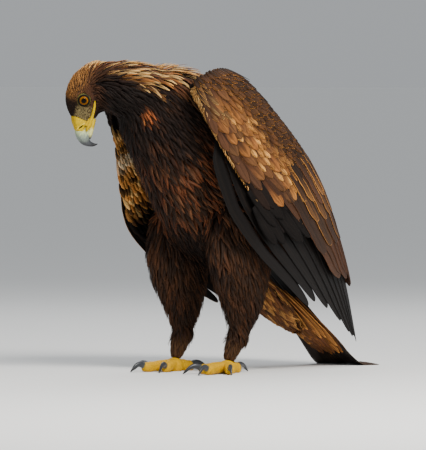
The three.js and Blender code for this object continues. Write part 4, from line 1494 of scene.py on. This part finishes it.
def make_cere():
    stations = np.linspace(0, 1, 64)
    angle = once_round(96)
    c, s = squared(np.cos(angle), 0.8), squared(np.sin(angle), 0.8)
    # Its front edge lies further back low on the side.
    low = smooth(-s, 0.0, 0.85)
    forward = lerp(28.0, 51.0 - 13.0 * low[None], stations[:, None])
    ribs = curve_at(CERE_RIBS, np.clip((forward - CERE_BACK) / (CERE_FRONT - CERE_BACK), 0, 1))
    edge = 1 - 0.07 * smooth(stations, 0.86, 1.0)[:, None] ** 2
    x = c * ribs[..., 3] * edge * (1 - 0.2 * smooth(s, 0.5, 1.0))
    z = (ribs[..., 1] + ribs[..., 2]) / 2 + s * edge * (ribs[..., 1] - ribs[..., 2]) / 2
    ahead, above = forward - NOSTRIL[0], z - NOSTRIL[1]
    along_slit, across_slit = (ahead + above) / math.sqrt(2), (ahead - above) / math.sqrt(2)
    away = np.hypot(along_slit / NOSTRIL_HALF[0], across_slit / NOSTRIL_HALF[1])
    away = np.where(np.abs(x) > 4, away, 9)
    pit = 1 - smooth(away, 0.7, 1.15)
    rim = bump(away, 1.7, 0.4) * smooth(-across_slit, -1.5, 0.5)
    wrinkle = value_noise(np.stack([x, forward, z], -1), 1.5, 4) - 0.5
    x = x + np.sign(c) * (0.5 * rim - 0.7 * pit + 0.35 * wrinkle)
    ruddy = 0.3 * smooth(s, 0.2, 0.9) + 0.35 * (wrinkle > 0.12)
    # The nostril's shallow pit is painted near black, as painted shade inside its opening.
    tone = tinted(x.shape, (1, "yellow"), (ruddy, "amber"), (0.8 * rim, "pale"),
                  (smooth(pit, 0.05, 0.5), "nostril"))
    rings = from_head(np.stack([x, -forward, z], axis=-1))
    solid("cere_skin", [lofted(rings, tone, ("yellow", "yellow"))], "bare_skin", ["cere"])


GAPE_STRANDS = (  # (forward, up, half-width) along each fold of the mouth's corner
    ((-1.5, -17.4, 0.9), (7, -18.0, 1.9), (18, -17.8, 2.3), (29, -16.6, 2.7), (41, -14.2, 3.1),
     (49, -12.4, 1.2)),
    ((27, -13.4, 0.4), (31, -12.6, 1.1), (35, -11.4, 1.9), (40, -9.6, 2.6)),
)
GAPE_OUT = ((0, 30, 37, 45, 50), (15.0, 13.4, 12.8, 10.8, 9.0))  # least way out, by way forward


def make_gape(skin):
    """The yellow corners of the mouth, in two folds laid on the side of the head."""
    angle = once_round(20)
    stations = np.linspace(0, 1, 60)
    beyond = 40  # from the head's middle plane to where each ray starts
    for side, sign in SIDES:
        inward = (HEAD_AXES @ [-sign, 0, 0]).tolist()
        parts = []
        for strand in GAPE_STRANDS:
            forward, up, half = curve_at(strand, stations).T
            x = np.interp(forward, *GAPE_OUT)
            for i in range(len(x)):
                start = from_head([sign * beyond, -forward[i], up[i]])
                hit = skin.tree.ray_cast(start.tolist(), inward, beyond)
                if hit[0] is not None:
                    x[i] = max(x[i], beyond - hit[3])
            for _ in range(10):
                x[1:-1] = (x[:-2] + 2 * x[1:-1] + x[2:]) / 4
            half = half * np.sqrt(1 - np.clip(1 - stations / 0.12, 0, 1) ** 2 * 0.96)
            half, x, up, ahead = half[:, None], x[:, None], up[:, None], forward[:, None]
            crinkle = 1 + 0.06 * np.sin(ahead * 2.6) * np.cos(angle) ** 2
            wide = sign * (x + 0.7 + 0.9 * half * np.cos(angle) * crinkle)
            high = up + half * np.sin(angle) * crinkle
            rings = from_head(np.stack([wide, np.broadcast_to(-ahead, wide.shape), high], -1))
            tone = tinted(wide.shape, (1, "yellow"),
                          (0.25 + 0.6 * smooth(-np.cos(angle), -0.3, 0.4), "amber"))
            flip = slice(None, None, -1 if sign > 0 else 1)
            parts.append(lofted(rings[:, flip], tone[:, flip], ("yellow", "yellow")))
        solid(f"gape_{side}", parts, "bare_skin")


SIGHT = np.array([1.0, -0.16, 0.0])
EYE_AROUND = 64
# The lids from the ball outwards and back under: degrees from the line of sight, and radii.
LID_ANGLES = np.array([35.5, 37.5, 39.5, 42.5, 46.5, 51, 56, 62, 69, 60, 50, 41])
LID_RADII = np.array([11.95, 12.35, 12.6, 12.9, 13.15, 13.3, 13.3, 12.9, 12.0, 10.6, 10.6, 10.8])


def make_eyes():
    polar = np.unique(rows(np.linspace(0.8, PUPIL - 0.5, 6), [PUPIL, PUPIL + 0.6],
                           np.linspace(20, 36, 14), [IRIS - 1, IRIS, IRIS + 0.6],
                           np.linspace(42, 176, 26)))
    around = once_round(EYE_AROUND)
    bulge = EYE_RADIUS + 0.5 * (1 - smooth(polar, 20, 44))
    for side, sign in SIDES:
        sight = unit(SIGHT * [sign, 1, 1])
        other = unit(np.cross(sight, [0, 0, 1.0]))
        third = np.cross(sight, other)
        centre = np.array([sign * EYE_OUT, 0, 0])

        def on_ball(degrees, radius):
            a = np.radians(degrees)[:, None, None]
            flat = np.cos(around)[None, :, None] * other + np.sin(around)[None, :, None] * third
            return centre + radius[:, None, None] * (np.cos(a) * sight + np.sin(a) * flat)

        points, faces = ring_loft(on_ball(polar, bulge)[::-1])
        spin = np.tile(around, len(polar))
        gaze = np.stack([np.repeat(polar[::-1], EYE_AROUND) / 180, 0.5 + 0.5 * np.cos(spin),
                         0.5 + 0.5 * np.sin(spin)], 1)
        gaze = rows(gaze, [[1, 0.5, 0.5], [0, 0.5, 0.5]])
        add_mesh(f"eyeball_{side}", from_head(points), faces, MATERIALS["eye"], None, {"gaze": gaze},
                 [f"eye_{side}"])
        # The lids: a dark rim on the ball, and a bare ring outside it.
        rings = on_ball(LID_ANGLES, LID_RADII)
        crease = 0.22 * np.sin(around * 23)[None] * smooth(LID_ANGLES, 46, 54)[:, None]
        rings = rings + unit(rings - centre) * crease[..., None]
        i, j = np.meshgrid(np.arange(len(LID_ANGLES)), np.arange(EYE_AROUND), indexing="ij")
        this, after = i * EYE_AROUND, (i + 1) % len(LID_ANGLES) * EYE_AROUND
        k = (j + 1) % EYE_AROUND
        quads = np.stack([this + j, after + j, after + k, this + k], -1).reshape(-1, 4)
        tone = tinted(i.shape, (1, "ring"), (0.35, TONES["ring"] * 0.35),
                      (1 - smooth(LID_ANGLES, 46.5, 51)[:, None], "lid"))
        solid(f"eyelids_{side}", [(from_head(rings.reshape(-1, 3)), [quads], tone.reshape(-1, 3))],
              "bare_skin")


# ---- Feet ----

FOOT_AT = np.array([58.0, 8.0, 0])
TOE_OUT = 9.0  # degrees that the whole foot is turned out
TOE_HEIGHT, PAD_RADIUS, PAD_HEIGHT, TALON_RADIUS = 7.4, 15.0, 8.1, 5.2
# Degrees out from straight ahead, length, radius and the talon's length.
TOES = (("inner", -34, 47, 8.6, 40), ("middle", 2, 62, 8.2, 34), ("outer", 40, 46, 7.6, 29),
        ("hind", 184, 34, 9.2, 46))
# Place along it, height over TOE_HEIGHT and share of the radius.
TOE_STEPS = ((0, 3.6, 1.15), (0.3, 3.1, 0.98), (0.62, 1.4, 0.92), (0.86, 0, 0.95), (1, 1, 0.8))
TALON_STEPS = ((0, 2.4, 1), (0.3, 5.4, 0.86), (0.6, 3.2, 0.62), (0.85, -3, 0.36), (1, -6.8, 0.1))
TALON_SPAN, TALON_SUNK = 0.8, 3.0
SCUTE = 3.9  # from one scale across a toe to the next
TOE_STATIONS, TOE_AROUND = 110, 40


def stepped(steps, ahead, start, length, wide, deep):
    """Ribs for a toe or a talon."""
    return [(*(ahead * (start + length * t))[:2], TOE_HEIGHT + height, wide * share, deep * share)
            for t, height, share in steps]


def make_toe(ahead, length, radius):
    stations = np.linspace(0, 1, TOE_STATIONS)
    ribs = stepped(TOE_STEPS, ahead, 0, length, radius, radius)
    rings, angle = ribbed(ribs, np.cross(ahead, [0, 0, 1.0]), stations, TOE_AROUND, 0.92, 0.1)
    centre = rings.mean(axis=1, keepdims=True)
    rise = np.sin(angle)[None]
    halfway, quarter_round = TOE_STATIONS // 2, TOE_AROUND // 4
    if rings[halfway, quarter_round, 2] < centre[halfway, 0, 2]:
        rise = -rise
    distance = stations[:, None] * length
    joints = bump(stations, 0.4, 0.07) + bump(stations, 0.72, 0.07)
    phase = (distance / SCUTE + 0.18 * np.abs(np.cos(angle))[None]) % 1.0
    on_top = smooth(rise, 0.1, 0.55)
    scute = (smooth(phase, 0.0, 0.22) * (1 - 0.35 * phase)) * on_top * smooth(distance, 6, 14)
    beads = value_noise(rings, 2.1, 31) * (1 - on_top)
    push = 0.75 * scute + 0.8 * beads - 0.5 + 0.55 * joints[:, None]
    rings = rings + unit(rings - centre) * push[..., None]
    rings[..., 2] = np.maximum(rings[..., 2], 0.02)
    # Painted shade: darker in the grooves between the scales on top, and between the beads on the
    # underside.
    tone = tinted(rings.shape[:2], (1, "toe"), (0.55 * scute * smooth(phase, 0.3, 0.8), "toe_pale"),
                  (0.75 * on_top * (1 - smooth(phase, 0.02, 0.16)), "toe_dark"),
                  (0.5 * smooth(-rise, 0.1, 0.9) * smooth(beads, 0.4, 0.2), "toe_dark"))
    return lofted(rings, tone, ("toe", "toe"))


def make_talon(ahead, length, talon):
    stations = np.linspace(0, 1, 60)
    ribs = stepped(TALON_STEPS, ahead, length - TALON_SUNK, talon * TALON_SPAN, 0.82 * TALON_RADIUS,
                   TALON_RADIUS)
    rings, _ = ribbed(ribs, np.cross(ahead, [0, 0, 1.0]), stations, 28, 0.9, 0.01, 0.05)
    rings[..., 2] = np.maximum(rings[..., 2], 0.25)
    tone = tinted(rings.shape[:2], (1, "slate"), (smooth(stations, 0.3, 0.9)[:, None], "jet"),
                  (0.5 * bump(stations, 0.03, 0.05)[:, None], TONES["horn"] * 0.5))
    return lofted(rings, tone, ("slate", "jet"))


def make_pad():
    """The ball of the foot."""
    polar = np.linspace(0.02, math.pi - 0.02, 30)[:, None]
    around = once_round(48)
    ball = np.stack([np.sin(polar) * np.cos(around), np.sin(polar) * np.sin(around),
                     0.9 * np.cos(polar) * np.ones(48)], -1) * PAD_RADIUS + [0, 0, PAD_HEIGHT]
    ball[..., 2] = np.maximum(ball[..., 2], 0.02)
    return lofted(ball[:, ::-1], tinted(ball.shape[:2], (1, "toe")), ("toe", "toe"))


def make_feet():
    cos, sin = math.cos(math.radians(TOE_OUT)), math.sin(math.radians(TOE_OUT))
    spin = np.array([[cos, -sin, 0], [sin, cos, 0], [0, 0, 1]])
    for side, sign in SIDES:

        def put(points, faces, tones):
            placed = mirrored(points @ spin.T + FOOT_AT, sign)
            return placed, faces if sign > 0 else [f[:, ::-1] for f in faces], tones

        parts = []
        for name, degrees, length, radius, talon in TOES:
            a = math.radians(degrees)
            ahead = np.array([math.sin(a), -math.cos(a), 0.0])
            parts.append(put(*make_toe(ahead, length, radius)))
            solid(f"claw_{name}_{side}", [put(*make_talon(ahead, length, talon))], "horn",
                  [f"talon_{name}_{side}"])
        parts.append(put(*make_pad()))
        solid(f"foot_{side}", parts, "bare_skin", [f"toes_{side}"])


# ---- Stage ----

VIEW_TURN, VIEW_RISE, VIEW_FAR = 43.0, 1.5, 9.0  # degrees round, degrees up and metres off
VIEW_AIM = Vector((0.0187, -0.0622, 0.236))
VIEW_HIGH = 0.72  # metres seen from the frame's top to its bottom
SENSOR = 36.0
SKY_LOW, SKY_HIGH = 0.432, 0.56
FLOOR_SIZE = 400.0  # metres, out to where it meets the sky
# Degrees round, degrees up, metres off, size, power and colour.
LIGHTS = {
    "key": (66, 42, 2.6, 0.9, 112, (1, 0.965, 0.91)),
    "fill": (-10, 18, 3.0, 2.0, 8, (0.95, 0.97, 1)),
    "back": (215, 45, 2.8, 1.4, 26, (1, 1, 1)),
}


def set_up(name, data, azimuth, rise, far):
    """A camera or light that looks at the bird from these degrees."""
    a, e = math.radians(azimuth), math.radians(rise)
    away = Vector((math.sin(a) * math.cos(e), -math.cos(a) * math.cos(e), math.sin(e))) * far
    piece = bpy.data.objects.new(name, data)
    piece.location = VIEW_AIM + away
    piece.rotation_euler = (-away).to_track_quat("-Z", "Y").to_euler()
    bpy.context.scene.collection.objects.link(piece)
    return piece


def make_camera():
    data = bpy.data.cameras.new("camera")
    data.sensor_width = SENSOR
    data.lens = SENSOR * VIEW_FAR / VIEW_HIGH
    bpy.context.scene.camera = set_up("camera", data, VIEW_TURN, VIEW_RISE, VIEW_FAR)


def make_world():
    world = bpy.data.worlds.new("studio")
    world.use_nodes = True
    tree = world.node_tree
    background = tree.nodes["Background"]
    background.inputs[0].default_value = (0.92, 0.96, 1.0, 1)
    # Paler overhead than at the horizon, where it meets the floor's own tone.
    place = tree.nodes.new("ShaderNodeTexCoord")
    parts = tree.nodes.new("ShaderNodeSeparateXYZ")
    height = tree.nodes.new("ShaderNodeMapRange")
    for socket, value in enumerate((0.0, 0.5, SKY_LOW, SKY_HIGH), 1):
        height.inputs[socket].default_value = value
    tree.links.new(place.outputs["Generated"], parts.inputs[0])
    tree.links.new(parts.outputs[2], height.inputs[0])
    tree.links.new(height.outputs[0], background.inputs[1])
    bpy.context.scene.world = world


def make_stage():
    bpy.ops.mesh.primitive_plane_add(size=FLOOR_SIZE, location=(0, 0, 0))
    floor = bpy.context.object
    floor.name = "floor"
    material = Nodes("floor", Roughness=0.9, Specular_IOR_Level=0.1).finished((0.8, 0.8, 0.79))
    floor.data.materials.append(material)
    make_world()
    for name, (azimuth, rise, far, size, power, colour) in LIGHTS.items():
        data = bpy.data.lights.new(name, "AREA")
        data.size, data.energy, data.color = size, power, colour
        set_up(name, data, azimuth, rise, far)


def main():
    make_camera()
    make_stage()
    skin = make_skin_surface()
    show_skin(skin)
    cover_body(skin)
    cover_wings()
    cover_wing_edges(skin)
    for side, sign in SIDES:
        make_primaries(side, sign)
        make_secondaries(side, sign)
        make_tertials(side, sign)
    make_tail()
    make_undertail()
    make_bill()
    make_cere()
    make_gape(skin)
    make_eyes()
    make_feet()


main()
